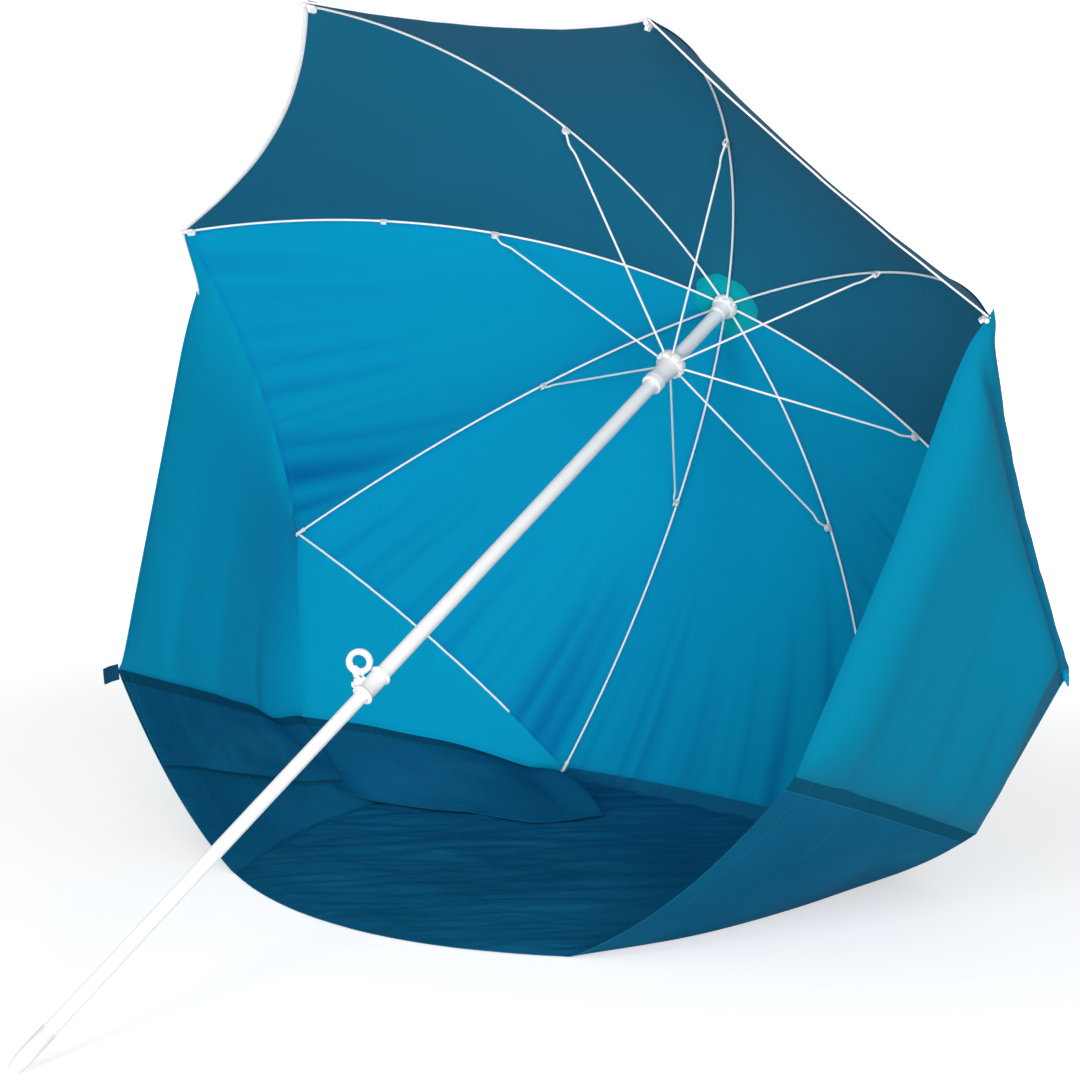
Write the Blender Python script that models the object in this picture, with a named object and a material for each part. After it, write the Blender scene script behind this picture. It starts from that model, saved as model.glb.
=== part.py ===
"""A beach tent: a leaning umbrella whose rim carries side walls, a floor and flaps.

Metres, +Z up, +X to the right, +Y to the back. The ribs and struts are modelled round the
pole, which then leans back until the spike and the two lowest rib tips stand on the ground.
"""

import math
from functools import partial

import bmesh
import bpy
from mathutils import Matrix, Vector

# Ribwork, measured round the pole
RIB_COUNT = 8
RIM_RADIUS = 0.792
RIM_HEIGHT = 1.408
CROWN_RISE = 0.378
PIVOT_RADIUS = 0.0225
RIB_RADIUS = 0.0022
STRUT_RADIUS = 0.0020
STRUT_JOINT_ROW = 7
BRACKET_DROP = 0.0065
STRUT_HOOK = 0.004
STRUT_HOOK_LENGTH = 0.040
TIP_CAP_RADIUS = 0.0036
TIP_CAP_LENGTH = 0.022
TIP_CAP_OVERHANG = 0.006
GROUND_GAP = 0.001

# Pole
UPPER_TUBE_RADIUS = 0.0115
LOWER_TUBE_RADIUS = 0.0100
TUBE_WALL = 0.0010
LOWER_TUBE_OVERLAP = 0.150
CLAMP_DROP = 0.608
SPIKE_LENGTH = 0.085
SPIKE_RADIUS = 0.0115
SPIKE_SOCKET_DEPTH = 0.030
SPIKE_POINT_RADIUS = 0.002

# Hub and runner
CROWN_RADIUS = 0.0265
CROWN_EDGE = 0.0010
CROWN_SLOT_FLOOR = 0.0185
SLOT_CLEARANCE = 0.0004
HUB_TOP = 0.0024
HUB_CROWN_DEPTH = 0.011
HUB_BARREL_RADIUS = 0.0165
HUB_LENGTH = 0.030
HUB_ROOF = 0.004
RUNNER_TOP = 0.007
RUNNER_CROWN_DEPTH = 0.008
RUNNER_SHOULDER_RADIUS = 0.0175
RUNNER_BARREL_RADIUS = 0.0150
RUNNER_BARREL_LENGTH = 0.038
RUNNER_COLLAR_RADIUS = 0.0168
RUNNER_COLLAR_LENGTH = 0.016

# Clamp at the joint of the two tubes
CLAMP_LENGTH = 0.047
CLAMP_WAIST_RADIUS = 0.0135
CLAMP_FLANGE_RADIUS = 0.0160
CLAMP_FLANGE_LENGTH = 0.004
CLAMP_STEP_DROP = 0.012
CLAMP_AZIMUTH = math.radians(225)
LEVER_THICKNESS = 0.006
LEVER_PIVOT_RADIUS = 0.0195
LEVER_PIVOT_DROP = 0.0065
LEVER_BOSS_RADIUS = 0.0045
LEVER_RING_WIDTH = 0.025
LEVER_RING_LENGTH = 0.035
LEVER_HOLE_WIDTH = 0.015
LEVER_HOLE_LENGTH = 0.019
LEVER_RING_RISE = 0.0095
EAR_THICKNESS = 0.0025
EAR_LENGTH = 0.012
PIN_RADIUS = 0.0015
PIN_HEAD_RADIUS = 0.0026
PIN_HEAD_LENGTH = 0.0010

# Rib brackets
BRACKET_LENGTH = 0.012
BRACKET_CHEEK = 0.0012
BRACKET_TOP = 0.0005
BRACKET_FOOT = 0.0030

# Canopy
CLOTH = 0.0012
CLEARANCE = 0.0003
SEAM_GAP = 0.0005
WALL_GAP = 0.0009
CANOPY_HOLE_RADIUS = 0.0098
HUB_SWELL = 0.0030
HUB_SWELL_RADIUS = 0.060
TIP_SWELL = 0.0022
TIP_SWELL_LENGTH = 0.030
GORE_SAG = 0.012
PATCH_THICKNESS = 0.0008
PATCH_SHARE = 0.70
PATCH_LOBE_SHARE = 0.15
CAP_STEM_RADIUS = 0.0085
CAP_RADIUS = 0.021
CAP_HEIGHT = 0.012
CAP_RISE = 0.0077

# How far the rim of each gore is cut back between its ribs
FREE_RIM_SCALLOP = 0.055
WALL_RIM_SCALLOP = 0.028
REAR_RIM_SCALLOP = 0.018
GROUND_RIM_SCALLOP = -0.004

# Corners of the cloth below the rim, as shares of the rim radius from the point midway
# between the two rib tips on the ground
LEFT_FRONT_CORNER_SHARES = (-0.773, -0.955, 0.345)
LEFT_SEAM_CORNER_SHARES = (-0.785, -0.388, 0.134)
RIGHT_FRONT_CORNER_SHARES = (0.653, -0.727, 0.345)
RIGHT_SEAM_CORNER_SHARES = (0.729, -0.199, 0.134)
FLOOR_LEFT_EDGE_SHARES = (
    (-0.383, -0.010),
    (-0.520, -0.200),
    (-0.545, -0.420),
    (-0.530, -0.690),
    (-0.442, -0.979),
)
FLOOR_RIGHT_EDGE_SHARES = (
    (0.383, -0.010),
    (0.500, -0.130),
    (0.505, -0.360),
    (0.440, -0.700),
    (0.309, -1.005),
)
FLOOR_FRONT_BULGE_SHARE = 0.120
LEFT_FLAP_HEM_SHARES = (
    (-0.593, -0.941, 0.182),
    (-0.591, -0.828, 0.138),
    (-0.578, -0.518, 0.054),
    (-0.461, -0.448, 0.014),
    (-0.297, -0.398, 0.005),
    (-0.152, -0.330, 0.003),
    (-0.165, -0.270, 0.003),
)
RIGHT_FLAP_HEM_SHARES = (
    (0.520, -0.710, 0.190),
    (0.530, -0.600, 0.140),
    (0.540, -0.330, 0.058),
    (0.450, -0.310, 0.012),
    (0.330, -0.320, 0.005),
    (0.220, -0.310, 0.003),
    (0.190, -0.260, 0.003),
)
CORNER_TURN_SHARE = 0.62
CORNER_COLUMN_SHARE = 0.6875
BAND_END_SHARE = 0.94
FLAP_END_SHARE = 0.74
FLAP_DROP_POWER = 4
REAR_WALL_SHARE = 0.97
FLAP_INSET = 0.0004
TIP_NOTCH = 0.013
LEFT_WALL_SWELL = (-0.018, 0, 0)
RIGHT_WALL_SWELL = (0.044, -0.026, 0)
BULGE_POWER = 6
WALL_FOLD = 0.004
WALL_FOLD_COUNT = 3
REAR_FOLD_COUNT = 2
BAND_SAG = 0.012
BAND_FOLD = 0.004
BAND_FOLD_COUNT = 4
FLAP_FOLD = 0.006
FLAP_FOLD_COUNT = 5
REAR_CORNER_SETBACK = 0.012
REAR_CORNER_RISE = 0.0025

# Webbing loop at the left front corner
LOOP_LENGTH = 0.028
LOOP_WIDTH = 0.018
LOOP_GAP = 0.006
LOOP_WEBBING = 0.0015
LOOP_OFFSET = 0.0025

# Facets
POLE_SIDES = 20
SMALL_SIDES = 12
WIRE_FACET_COUNT = 2
GORE_COLUMNS = 7
GORE_ROWS = 14
ROW_GROWTH = 1.34
WALL_COLUMNS = 12
WALL_ROWS = 10
BAND_COLUMNS = 16
BAND_ROWS = 4
FLOOR_COLUMNS = 10
FLOOR_ROWS = 12
CUT_OVERRUN = 0.005
MERGE_DISTANCE = 0.000001
SMOOTH_ANGLE = math.radians(35)

# Worked out from the sizes above
SECTOR = 2 * math.pi / RIB_COUNT
CENTRE_DROP = (PIVOT_RADIUS**2 + CROWN_RISE**2 - RIM_RADIUS**2) / (2 * CROWN_RISE)
DOME_RADIUS = math.hypot(RIM_RADIUS, CENTRE_DROP)
PIVOT_ANGLE = math.asin(PIVOT_RADIUS / DOME_RADIUS)
RIM_ANGLE = math.asin(RIM_RADIUS / DOME_RADIUS)
HOLE_ANGLE = math.asin(CANOPY_HOLE_RADIUS / DOME_RADIUS)
PANEL_SLOPE = SECTOR / 2 + math.atan(2 * GORE_SAG / (RIM_RADIUS * math.sin(SECTOR / 2)))
BASE_LIFT = CLOTH + CLEARANCE


def row_angle(row):
    """The angle from the pole of one of the canopy's rows, where the ribs have their bends too."""
    return HOLE_ANGLE + (RIM_ANGLE - HOLE_ANGLE) * (row / GORE_ROWS) ** ROW_GROWTH


def pivot_height():
    """The height of the ribs' pivots along the pole."""
    return RIM_HEIGHT + CROWN_RISE


def arc_point(angle):
    """A point of a rib in its own frame: X outward, Z along the pole, origin on its pivot."""
    height = CENTRE_DROP + DOME_RADIUS * math.cos(angle) - CROWN_RISE
    return Vector((DOME_RADIUS * math.sin(angle) - PIVOT_RADIUS, 0, height))


def tip_direction():
    """The way a rib's last stretch points, in the rib's own frame."""
    return (arc_point(RIM_ANGLE) - arc_point(row_angle(GORE_ROWS - 1))).normalized()


def joint_frame():
    """The middle of the stretch of a rib that carries its bracket, X along the wire."""
    before, after = arc_point(row_angle(STRUT_JOINT_ROW)), arc_point(row_angle(STRUT_JOINT_ROW + 1))
    along = after - before
    return Matrix.Translation((before + after) / 2) @ Matrix.Rotation(math.atan2(-along.z, along.x), 4, "Y")


def rib_joint():
    """The strut's pivot on the rib, as (radius, height) round the pole."""
    point = joint_frame() @ Vector((0, 0, -BRACKET_DROP))
    return PIVOT_RADIUS + point.x, pivot_height() + point.z


def runner_pivot_height():
    """The runner's pivots mirror the hub's in the rib joints, so a strut equals a rib's inner part."""
    return 2 * rib_joint()[1] - pivot_height()


def rib_azimuth(number):
    """The direction of a rib round the pole. Ribs 5 and 6 point to the ground."""
    return (number - (RIB_COUNT + 3) / 2) * SECTOR + math.pi / 2


def spike_flank():
    """The spike's outer profile as (radius, height) points from its upper end to its point."""
    return [
        (SPIKE_RADIUS, SPIKE_LENGTH),
        (SPIKE_RADIUS, SPIKE_LENGTH * 0.45),
        (SPIKE_RADIUS * 0.9, SPIKE_LENGTH * 0.28),
        (SPIKE_RADIUS * 0.62, SPIKE_LENGTH * 0.1),
        (SPIKE_POINT_RADIUS, SPIKE_POINT_RADIUS),
        (0, SPIKE_POINT_RADIUS / 2),
    ]


def lean_matrix():
    """From the pole's own frame, spike at the origin and +Y to the ground, to the leaning tent."""
    end = arc_point(RIM_ANGLE) + tip_direction() * TIP_CAP_OVERHANG
    down = (PIVOT_RADIUS + end.x) * math.cos(SECTOR / 2)
    up = pivot_height() + end.z
    slope = math.atan2(down, up)
    rise = max(radius * math.cos(slope) - height * math.sin(slope) for radius, height in spike_flank())
    angle = slope + math.asin((TIP_CAP_RADIUS + GROUND_GAP - rise) / math.hypot(down, up))
    lean = Matrix.Rotation(angle - math.pi / 2, 4, "X")
    tips = lean @ Vector((0, RIM_RADIUS * math.cos(SECTOR / 2), RIM_HEIGHT))
    return Matrix.Translation((0, -tips.y, rise)) @ lean


LEAN_MATRIX = lean_matrix()


def clear_scene():
    """Start from an empty file."""
    for item in list(bpy.data.objects):
        bpy.data.objects.remove(item, do_unlink=True)


def material(name, colour, roughness, metallic=0.0):
    """One plain finish."""
    finish = bpy.data.materials.get(name)
    if finish is None:
        finish = bpy.data.materials.new(name)
        finish.use_nodes = True
        shader = finish.node_tree.nodes["Principled BSDF"]
        shader.inputs["Base Color"].default_value = (*colour, 1.0)
        shader.inputs["Roughness"].default_value = roughness
        shader.inputs["Metallic"].default_value = metallic
    return finish


def white_coat():
    """Powder coat on the steel tubes and wires."""
    return material("white_coat", (0.86, 0.86, 0.85), 0.35)


def white_plastic():
    """Moulded plastic of the hub, runner, clamp, caps and spike."""
    return material("white_plastic", (0.88, 0.88, 0.88), 0.42)


def pin_steel():
    """Bare steel of the lever's pin."""
    return material("pin_steel", (0.62, 0.62, 0.63), 0.3, 1.0)


def dark_cloth():
    """Dark petrol blue canopy cloth."""
    return material("dark_cloth", (0.008, 0.095, 0.165), 0.7)


def bright_cloth():
    """Bright blue canopy cloth."""
    return material("bright_cloth", (0.0, 0.245, 0.442), 0.65)


def wall_cloth():
    """Teal blue cloth of the side walls."""
    return material("wall_cloth", (0.0, 0.215, 0.352), 0.65)


def navy_sheet():
    """Dark coated sheet of the floor, the bands and the flaps."""
    return material("navy_sheet", (0.005, 0.075, 0.150), 0.55)


def patch_cloth():
    """Turquoise patch round the hub."""
    return material("patch_cloth", (0.0, 0.330, 0.380), 0.6)


def navy_webbing():
    """Webbing of the peg loops."""
    return material("navy_webbing", (0.004, 0.028, 0.062), 0.75)


def empty(name, parent=None, matrix=None):
    """A frame that other objects are placed in."""
    frame = bpy.data.objects.new(name, None)
    bpy.context.scene.collection.objects.link(frame)
    frame.parent = parent
    if matrix is not None:
        frame.matrix_local = matrix
    return frame


def place(name, data, finish, parent, matrix=None):
    """Put a mesh or curve into the scene under its parent frame."""
    thing = bpy.data.objects.new(name, data)
    bpy.context.scene.collection.objects.link(thing)
    data.materials.append(finish)
    thing.parent = parent
    if matrix is not None:
        thing.matrix_local = matrix
    return thing


def finish_mesh(name, shape):
    """Close a bmesh into a smooth shaded mesh with sharp edges."""
    bmesh.ops.remove_doubles(shape, verts=shape.verts, dist=MERGE_DISTANCE)
    bmesh.ops.recalc_face_normals(shape, faces=shape.faces)
    mesh = bpy.data.meshes.new(name)
    shape.to_mesh(mesh)
    shape.free()
    mesh.shade_smooth()
    mesh.set_sharp_from_angle(angle=SMOOTH_ANGLE)
    return mesh


def turned_mesh(name, outline, sides, ring=False):
    """A solid of revolution about Z from (radius, height) points, a ring if it has a bore."""
    shape = bmesh.new()
    points = [shape.verts.new((radius, 0, height)) for radius, height in outline]
    edges = [shape.edges.new(pair) for pair in zip(points, points[1:])]
    if ring:
        edges.append(shape.edges.new((points[-1], points[0])))
    bmesh.ops.spin(
        shape,
        geom=points + edges,
        axis=(0, 0, 1),
        cent=(0, 0, 0),
        dvec=(0, 0, 0),
        angle=2 * math.pi,
        steps=sides,
    )
    return finish_mesh(name, shape)


def block_mesh(name, low, high):
    """A box between two corners."""
    shape = bmesh.new()
    bmesh.ops.create_cube(shape, size=1)
    size = Vector(high) - Vector(low)
    middle = (Vector(high) + Vector(low)) / 2
    stretch = Matrix.Translation(middle) @ Matrix.Diagonal((*size, 1))
    bmesh.ops.transform(shape, matrix=stretch, verts=shape.verts)
    return finish_mesh(name, shape)


def plate_mesh(name, outline, thickness):
    """A flat plate from an outline in XZ, centred on the plane Y = 0."""
    shape = bmesh.new()
    base = shape.faces.new([shape.verts.new((x, -thickness / 2, z)) for x, z in outline])
    grown = bmesh.ops.extrude_face_region(shape, geom=[base])
    moved = [item for item in grown["geom"] if isinstance(item, bmesh.types.BMVert)]
    bmesh.ops.translate(shape, verts=moved, vec=(0, thickness, 0))
    return finish_mesh(name, shape)


def ellipse(width, length, rise=0.0, reach=0.0, sides=POLE_SIDES):
    """Points of an ellipse in XZ."""
    turns = [2 * math.pi * step / sides for step in range(sides)]
    return [(reach + width / 2 * math.cos(turn), rise + length / 2 * math.sin(turn)) for turn in turns]


def wire_curve(name, points, radius):
    """A round wire along points, with closed ends."""
    curve = bpy.data.curves.new(name, "CURVE")
    curve.dimensions = "3D"
    curve.bevel_depth = radius
    curve.bevel_resolution = WIRE_FACET_COUNT
    curve.render_resolution_u = 0
    curve.use_fill_caps = True
    line = curve.splines.new("POLY")
    line.points.add(len(points) - 1)
    for knot, point in zip(line.points, points):
        knot.co = (*point, 1)
    return curve


def shape_with(target, tool, operation):
    """Join a helper to an object or cut it away, and keep the helper as a guide."""
    tool.hide_render = True
    tool.display_type = "WIRE"
    step = target.modifiers.new(tool.name, "BOOLEAN")
    step.operation = operation
    step.solver = "EXACT"
    step.object = tool


def helper(name, data, parent, matrix=None):
    """A shape that only serves as a Boolean's tool."""
    return place(name, data, white_plastic(), parent, matrix)


def sheet_mesh(name, point_at, columns, rows, inside, wrap=False):
    """A grid of point_at(u, v) whose faces look away from the point inside."""
    shape = bmesh.new()
    width = columns if wrap else columns + 1
    grid = [
        [shape.verts.new(point_at(column / columns, row / rows)) for column in range(width)]
        for row in range(rows + 1)
    ]
    for upper, lower in zip(grid, grid[1:]):
        for column in range(columns):
            after = (column + 1) % width
            shape.faces.new((upper[column], upper[after], lower[after], lower[column]))
    shape.normal_update()
    looks_out = sum(face.normal.dot(face.calc_center_median() - inside) for face in shape.faces)
    if looks_out < 0:
        bmesh.ops.reverse_faces(shape, faces=shape.faces)
    mesh = bpy.data.meshes.new(name)
    shape.to_mesh(mesh)
    shape.free()
    mesh.shade_smooth()
    return mesh


def cloth(name, point_at, columns, rows, finish, parent, inside, thickness=CLOTH, wrap=False):
    """A thin closed sheet that grows away from the inside."""
    sheet = place(name, sheet_mesh(name, point_at, columns, rows, inside, wrap), finish, parent)
    thick = sheet.modifiers.new("thickness", "SOLIDIFY")
    thick.thickness = thickness
    thick.offset = 1
    thick.use_even_offset = True
    return sheet


def smooth_line(points, share):
    """A point on a smooth curve through the given points, at a share of the way."""
    last = len(points) - 1
    place_on = min(max(share, 0) * last, last)
    index = min(int(place_on), last - 1)
    t = place_on - index
    p1, p2 = Vector(points[index]), Vector(points[index + 1])
    p0 = Vector(points[index - 1]) if index > 0 else 2 * p1 - p2
    p3 = Vector(points[index + 2]) if index + 2 <= last else 2 * p2 - p1
    square = 2 * p0 - 5 * p1 + 4 * p2 - p3
    cube = 3 * p1 - p0 - 3 * p2 + p3
    return (2 * p1 + (p2 - p0) * t + square * t**2 + cube * t**3) / 2


def in_tent(shares):
    """A point given as shares of the rim radius."""
    return Vector(shares) * RIM_RADIUS


def dome_point(angle, azimuth, lift):
    """A point over the ribs' arc: its angle from the pole, its direction and its height over the wire."""
    reach = DOME_RADIUS + lift
    radius = reach * math.sin(angle)
    height = RIM_HEIGHT + CENTRE_DROP + reach * math.cos(angle)
    return LEAN_MATRIX @ Vector((radius * math.cos(azimuth), radius * math.sin(azimuth), height))


def dome_normal(angle, azimuth):
    """The direction away from the canopy's inside."""
    return dome_point(angle, azimuth, 1) - dome_point(angle, azimuth, 0)


def canopy_lift(angle):
    """The inner face of the canopy over the ribs' centre line, higher at the hub and at the tip caps."""
    radius = DOME_RADIUS * angle
    near_tip = max(0, 1 - (RIM_ANGLE - angle) * DOME_RADIUS / TIP_SWELL_LENGTH)
    swell = HUB_SWELL * math.exp(-((radius / HUB_SWELL_RADIUS) ** 2)) + TIP_SWELL * near_tip
    return (RIB_RADIUS + CLEARANCE) / math.cos(PANEL_SLOPE) + swell


def rim_scallop(number):
    """How far a gore's rim is cut back between its ribs."""
    if number in (1, 2, 8):
        return FREE_RIM_SCALLOP
    if number in (3, 7):
        return WALL_RIM_SCALLOP
    return GROUND_RIM_SCALLOP if number == 5 else REAR_RIM_SCALLOP


def canopy_point(number, u, angle, drop=0.0, margin=0.0):
    """A point under a gore's inner face, u from its first rib to its second, angle from the pole."""
    bow = 4 * u * (1 - u)
    lift = canopy_lift(angle) - drop
    first = dome_point(angle, rib_azimuth(number), lift)
    second = dome_point(angle, rib_azimuth(number + 1), lift)
    width = (second - first).length
    inset = margin / width
    rim_width = 2 * RIM_RADIUS * math.sin(SECTOR / 2)
    sag = dome_normal(angle, rib_azimuth(number + 0.5)) * GORE_SAG * bow * width / rim_width
    return first.lerp(second, inset + u * (1 - 2 * inset)) - sag


def gore_point(number, u, v, beyond=0.0):
    """A point of a gore: u from its first rib to its second, v from the hub to the rim."""
    bow = 4 * u * (1 - u)
    end = RIM_ANGLE - rim_scallop(number) * bow / DOME_RADIUS
    angle = HOLE_ANGLE + (end - HOLE_ANGLE) * v**ROW_GROWTH + beyond / DOME_RADIUS
    return canopy_point(number, u, angle, margin=SEAM_GAP / 2)


def rear_corner(side):
    """Where the cloth meets the ground beside a lowest rib tip, side -1 left or 1 right."""
    reach = RIM_RADIUS * math.sin(SECTOR / 2) + REAR_CORNER_SETBACK
    return Vector((side * reach, -REAR_CORNER_SETBACK, BASE_LIFT + REAR_CORNER_RISE))


def front_corner(side):
    """The free lower corner of a side wall."""
    return in_tent(LEFT_FRONT_CORNER_SHARES if side < 0 else RIGHT_FRONT_CORNER_SHARES)


def seam_corner(side):
    """The lower end of the seam below rib 4 or 7."""
    return in_tent(LEFT_SEAM_CORNER_SHARES if side < 0 else RIGHT_SEAM_CORNER_SHARES)


def tent_middle():
    """A point well inside the tent."""
    return LEAN_MATRIX @ Vector((0, 0, RIM_HEIGHT))


def fold(u, v, depth, count):
    """An outward fold's depth, fading out round the sheet's edge."""
    return depth * (1 - math.cos(2 * math.pi * count * u)) * 8 * u * (1 - u) * v * (1 - v)


def bulge(u, v):
    """How far a sheet swells between its edges, as a share of its most."""
    return (1 - (2 * u - 1) ** BULGE_POWER) * (1 - (2 * v - 1) ** BULGE_POWER)


def wall_top(number, across):
    """A wall's upper edge along a gore's rim, passing round the rib tips at its ends."""
    return gore_point(number, across, 1, WALL_GAP + TIP_NOTCH * abs(2 * across - 1) ** 6)


def wall_point(side, u, v):
    """A front side wall, u from the free edge to the seam, v from the rim down."""
    number, across = (7, 1 - u) if side < 0 else (3, u)
    top = wall_top(number, across)
    bottom = front_corner(side).lerp(seam_corner(side), u)
    swell = Vector(LEFT_WALL_SWELL if side < 0 else RIGHT_WALL_SWELL) * bulge(u, v)
    return top.lerp(bottom, v) + swell + Vector((side, 0, 0)) * fold(u, v, WALL_FOLD, WALL_FOLD_COUNT)


def rear_wall_point(side, u, v):
    """A rear wall, u from the seam to the lowest rib tip, v from the rim down."""
    along = u * REAR_WALL_SHARE
    number, across, notch_end = (6, 1 - along, 1) if side < 0 else (4, along, 0)
    notch = TIP_NOTCH * max(0, 1 - 8 * abs(across - notch_end))
    top = gore_point(number, across, 1, WALL_GAP + notch)
    bottom = seam_corner(side).lerp(rear_corner(side), u)
    setback = Vector((0, SEAM_GAP, 0)) * (1 - u)
    ripple = fold(u, v, WALL_FOLD, REAR_FOLD_COUNT)
    return (top + setback).lerp(bottom + setback, v) + Vector((side, 0, 0)) * ripple


def junction_share(u, end):
    """A place on the junction line whose corner falls on one of the band's columns."""
    if u < CORNER_COLUMN_SHARE:
        return u * CORNER_TURN_SHARE / CORNER_COLUMN_SHARE
    rest = end - CORNER_TURN_SHARE
    return CORNER_TURN_SHARE + rest * (u - CORNER_COLUMN_SHARE) / (1 - CORNER_COLUMN_SHARE)


def junction_point(side, share):
    """The line where walls and band meet, from the front corner over the seam to the rear corner."""
    if share < CORNER_TURN_SHARE:
        return front_corner(side).lerp(seam_corner(side), share / CORNER_TURN_SHARE)
    return seam_corner(side).lerp(rear_corner(side), (share - CORNER_TURN_SHARE) / (1 - CORNER_TURN_SHARE))


def floor_edge(side, share):
    """A side of the floor, from the front to the rear."""
    shares = FLOOR_LEFT_EDGE_SHARES if side < 0 else FLOOR_RIGHT_EDGE_SHARES
    points = [in_tent((x, y, 0)) for x, y in reversed(shares)]
    return smooth_line(points, share)


def band_point(side, u, v):
    """The dark lower side, u from front to rear, v from the walls down to the floor."""
    share = junction_share(u, BAND_END_SHARE)
    out = Vector((side, 0, 0))
    top = junction_point(side, share) - Vector((0, 0, WALL_GAP))
    bottom = floor_edge(side, share) + out * SEAM_GAP + Vector((0, 0, BASE_LIFT + CLEARANCE))
    ripple = fold(u, v, BAND_FOLD, BAND_FOLD_COUNT)
    sag = BAND_SAG * math.sin(math.pi * v) * (1 - u)
    return top.lerp(bottom, v) + out * ripple - Vector((0, 0, sag))


def flap_point(side, u, v):
    """An inner flap, u from front to rear, v from the walls down to its free hem."""
    hem = [in_tent(shares) for shares in (LEFT_FLAP_HEM_SHARES if side < 0 else RIGHT_FLAP_HEM_SHARES)]
    inward = Vector((-side, 0, 1)) * FLAP_INSET
    top = junction_point(side, junction_share(u, FLAP_END_SHARE)) + inward
    bottom = smooth_line(hem, u)
    ripple = FLAP_FOLD * abs(math.sin(math.pi * FLAP_FOLD_COUNT * u)) * math.sin(math.pi * v) * (1 - u)
    point = top.lerp(bottom, v)
    drape = u**2
    low = bottom.z + (top.z - bottom.z) * (1 - v) ** FLAP_DROP_POWER
    return Vector((point.x, point.y, point.z * (1 - drape) + low * drape + ripple))


def floor_point(u, v):
    """The floor, u from left to right, v from the rear to the front."""
    left, right = floor_edge(-1, 1 - v), floor_edge(1, 1 - v)
    bulge = FLOOR_FRONT_BULGE_SHARE * RIM_RADIUS * 4 * u * (1 - u) * v**3
    return left.lerp(right, u) - Vector((0, bulge, 0))


def build_pole(frame):
    """The two telescoping tubes and the spike."""
    inner = UPPER_TUBE_RADIUS - TUBE_WALL
    top = pivot_height() + HUB_TOP - HUB_ROOF - CLEARANCE
    foot = RIM_HEIGHT - CLAMP_DROP - CLAMP_STEP_DROP + CLEARANCE
    outline = [(UPPER_TUBE_RADIUS, top), (UPPER_TUBE_RADIUS, foot), (inner, foot), (inner, top)]
    place("upper_tube", turned_mesh("upper_tube", outline, POLE_SIDES, ring=True), white_coat(), frame)
    low = SPIKE_LENGTH - SPIKE_SOCKET_DEPTH + CLEARANCE
    high = foot + LOWER_TUBE_OVERLAP
    bore = LOWER_TUBE_RADIUS - TUBE_WALL
    outline = [(LOWER_TUBE_RADIUS, high), (LOWER_TUBE_RADIUS, low), (bore, low), (bore, high)]
    place("lower_tube", turned_mesh("lower_tube", outline, POLE_SIDES, ring=True), white_coat(), frame)
    socket = LOWER_TUBE_RADIUS + CLEARANCE
    floor = SPIKE_LENGTH - SPIKE_SOCKET_DEPTH
    outline = [(0, floor), (socket, floor), (socket, SPIKE_LENGTH)] + spike_flank()
    place("ground_spike", turned_mesh("ground_spike", outline, POLE_SIDES), white_plastic(), frame)


def cut_slots(target, frame, centre, top, depth, wire_radius):
    """Cut one open slot for each rib or strut into a crown."""
    half = wire_radius + SLOT_CLEARANCE
    low = (CROWN_SLOT_FLOOR, -half, centre - depth - CUT_OVERRUN)
    high = (CROWN_RADIUS + CUT_OVERRUN, half, centre + top + CUT_OVERRUN)
    for number in range(1, RIB_COUNT + 1):
        turn = Matrix.Rotation(rib_azimuth(number), 4, "Z")
        name = f"{target.name}_slot_{number}"
        shape_with(target, helper(name, block_mesh(name, low, high), frame, turn), "DIFFERENCE")


def build_hub(frame):
    """The slotted crown on the upper tube's top."""
    base = pivot_height()
    bore = UPPER_TUBE_RADIUS + CLEARANCE
    outline = [
        (0, base + HUB_TOP),
        (CROWN_RADIUS - CROWN_EDGE, base + HUB_TOP),
        (CROWN_RADIUS, base + HUB_TOP - CROWN_EDGE),
        (CROWN_RADIUS, base - HUB_CROWN_DEPTH + CROWN_EDGE),
        (CROWN_RADIUS - CROWN_EDGE, base - HUB_CROWN_DEPTH),
        (HUB_BARREL_RADIUS, base - HUB_CROWN_DEPTH),
        (HUB_BARREL_RADIUS, base - HUB_LENGTH + CROWN_EDGE),
        (HUB_BARREL_RADIUS - CROWN_EDGE, base - HUB_LENGTH),
        (bore, base - HUB_LENGTH),
        (bore, base + HUB_TOP - HUB_ROOF),
        (0, base + HUB_TOP - HUB_ROOF),
    ]
    hub = place("hub", turned_mesh("hub", outline, POLE_SIDES), white_plastic(), frame)
    cut_slots(hub, frame, base, HUB_TOP, HUB_CROWN_DEPTH, RIB_RADIUS)


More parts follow.
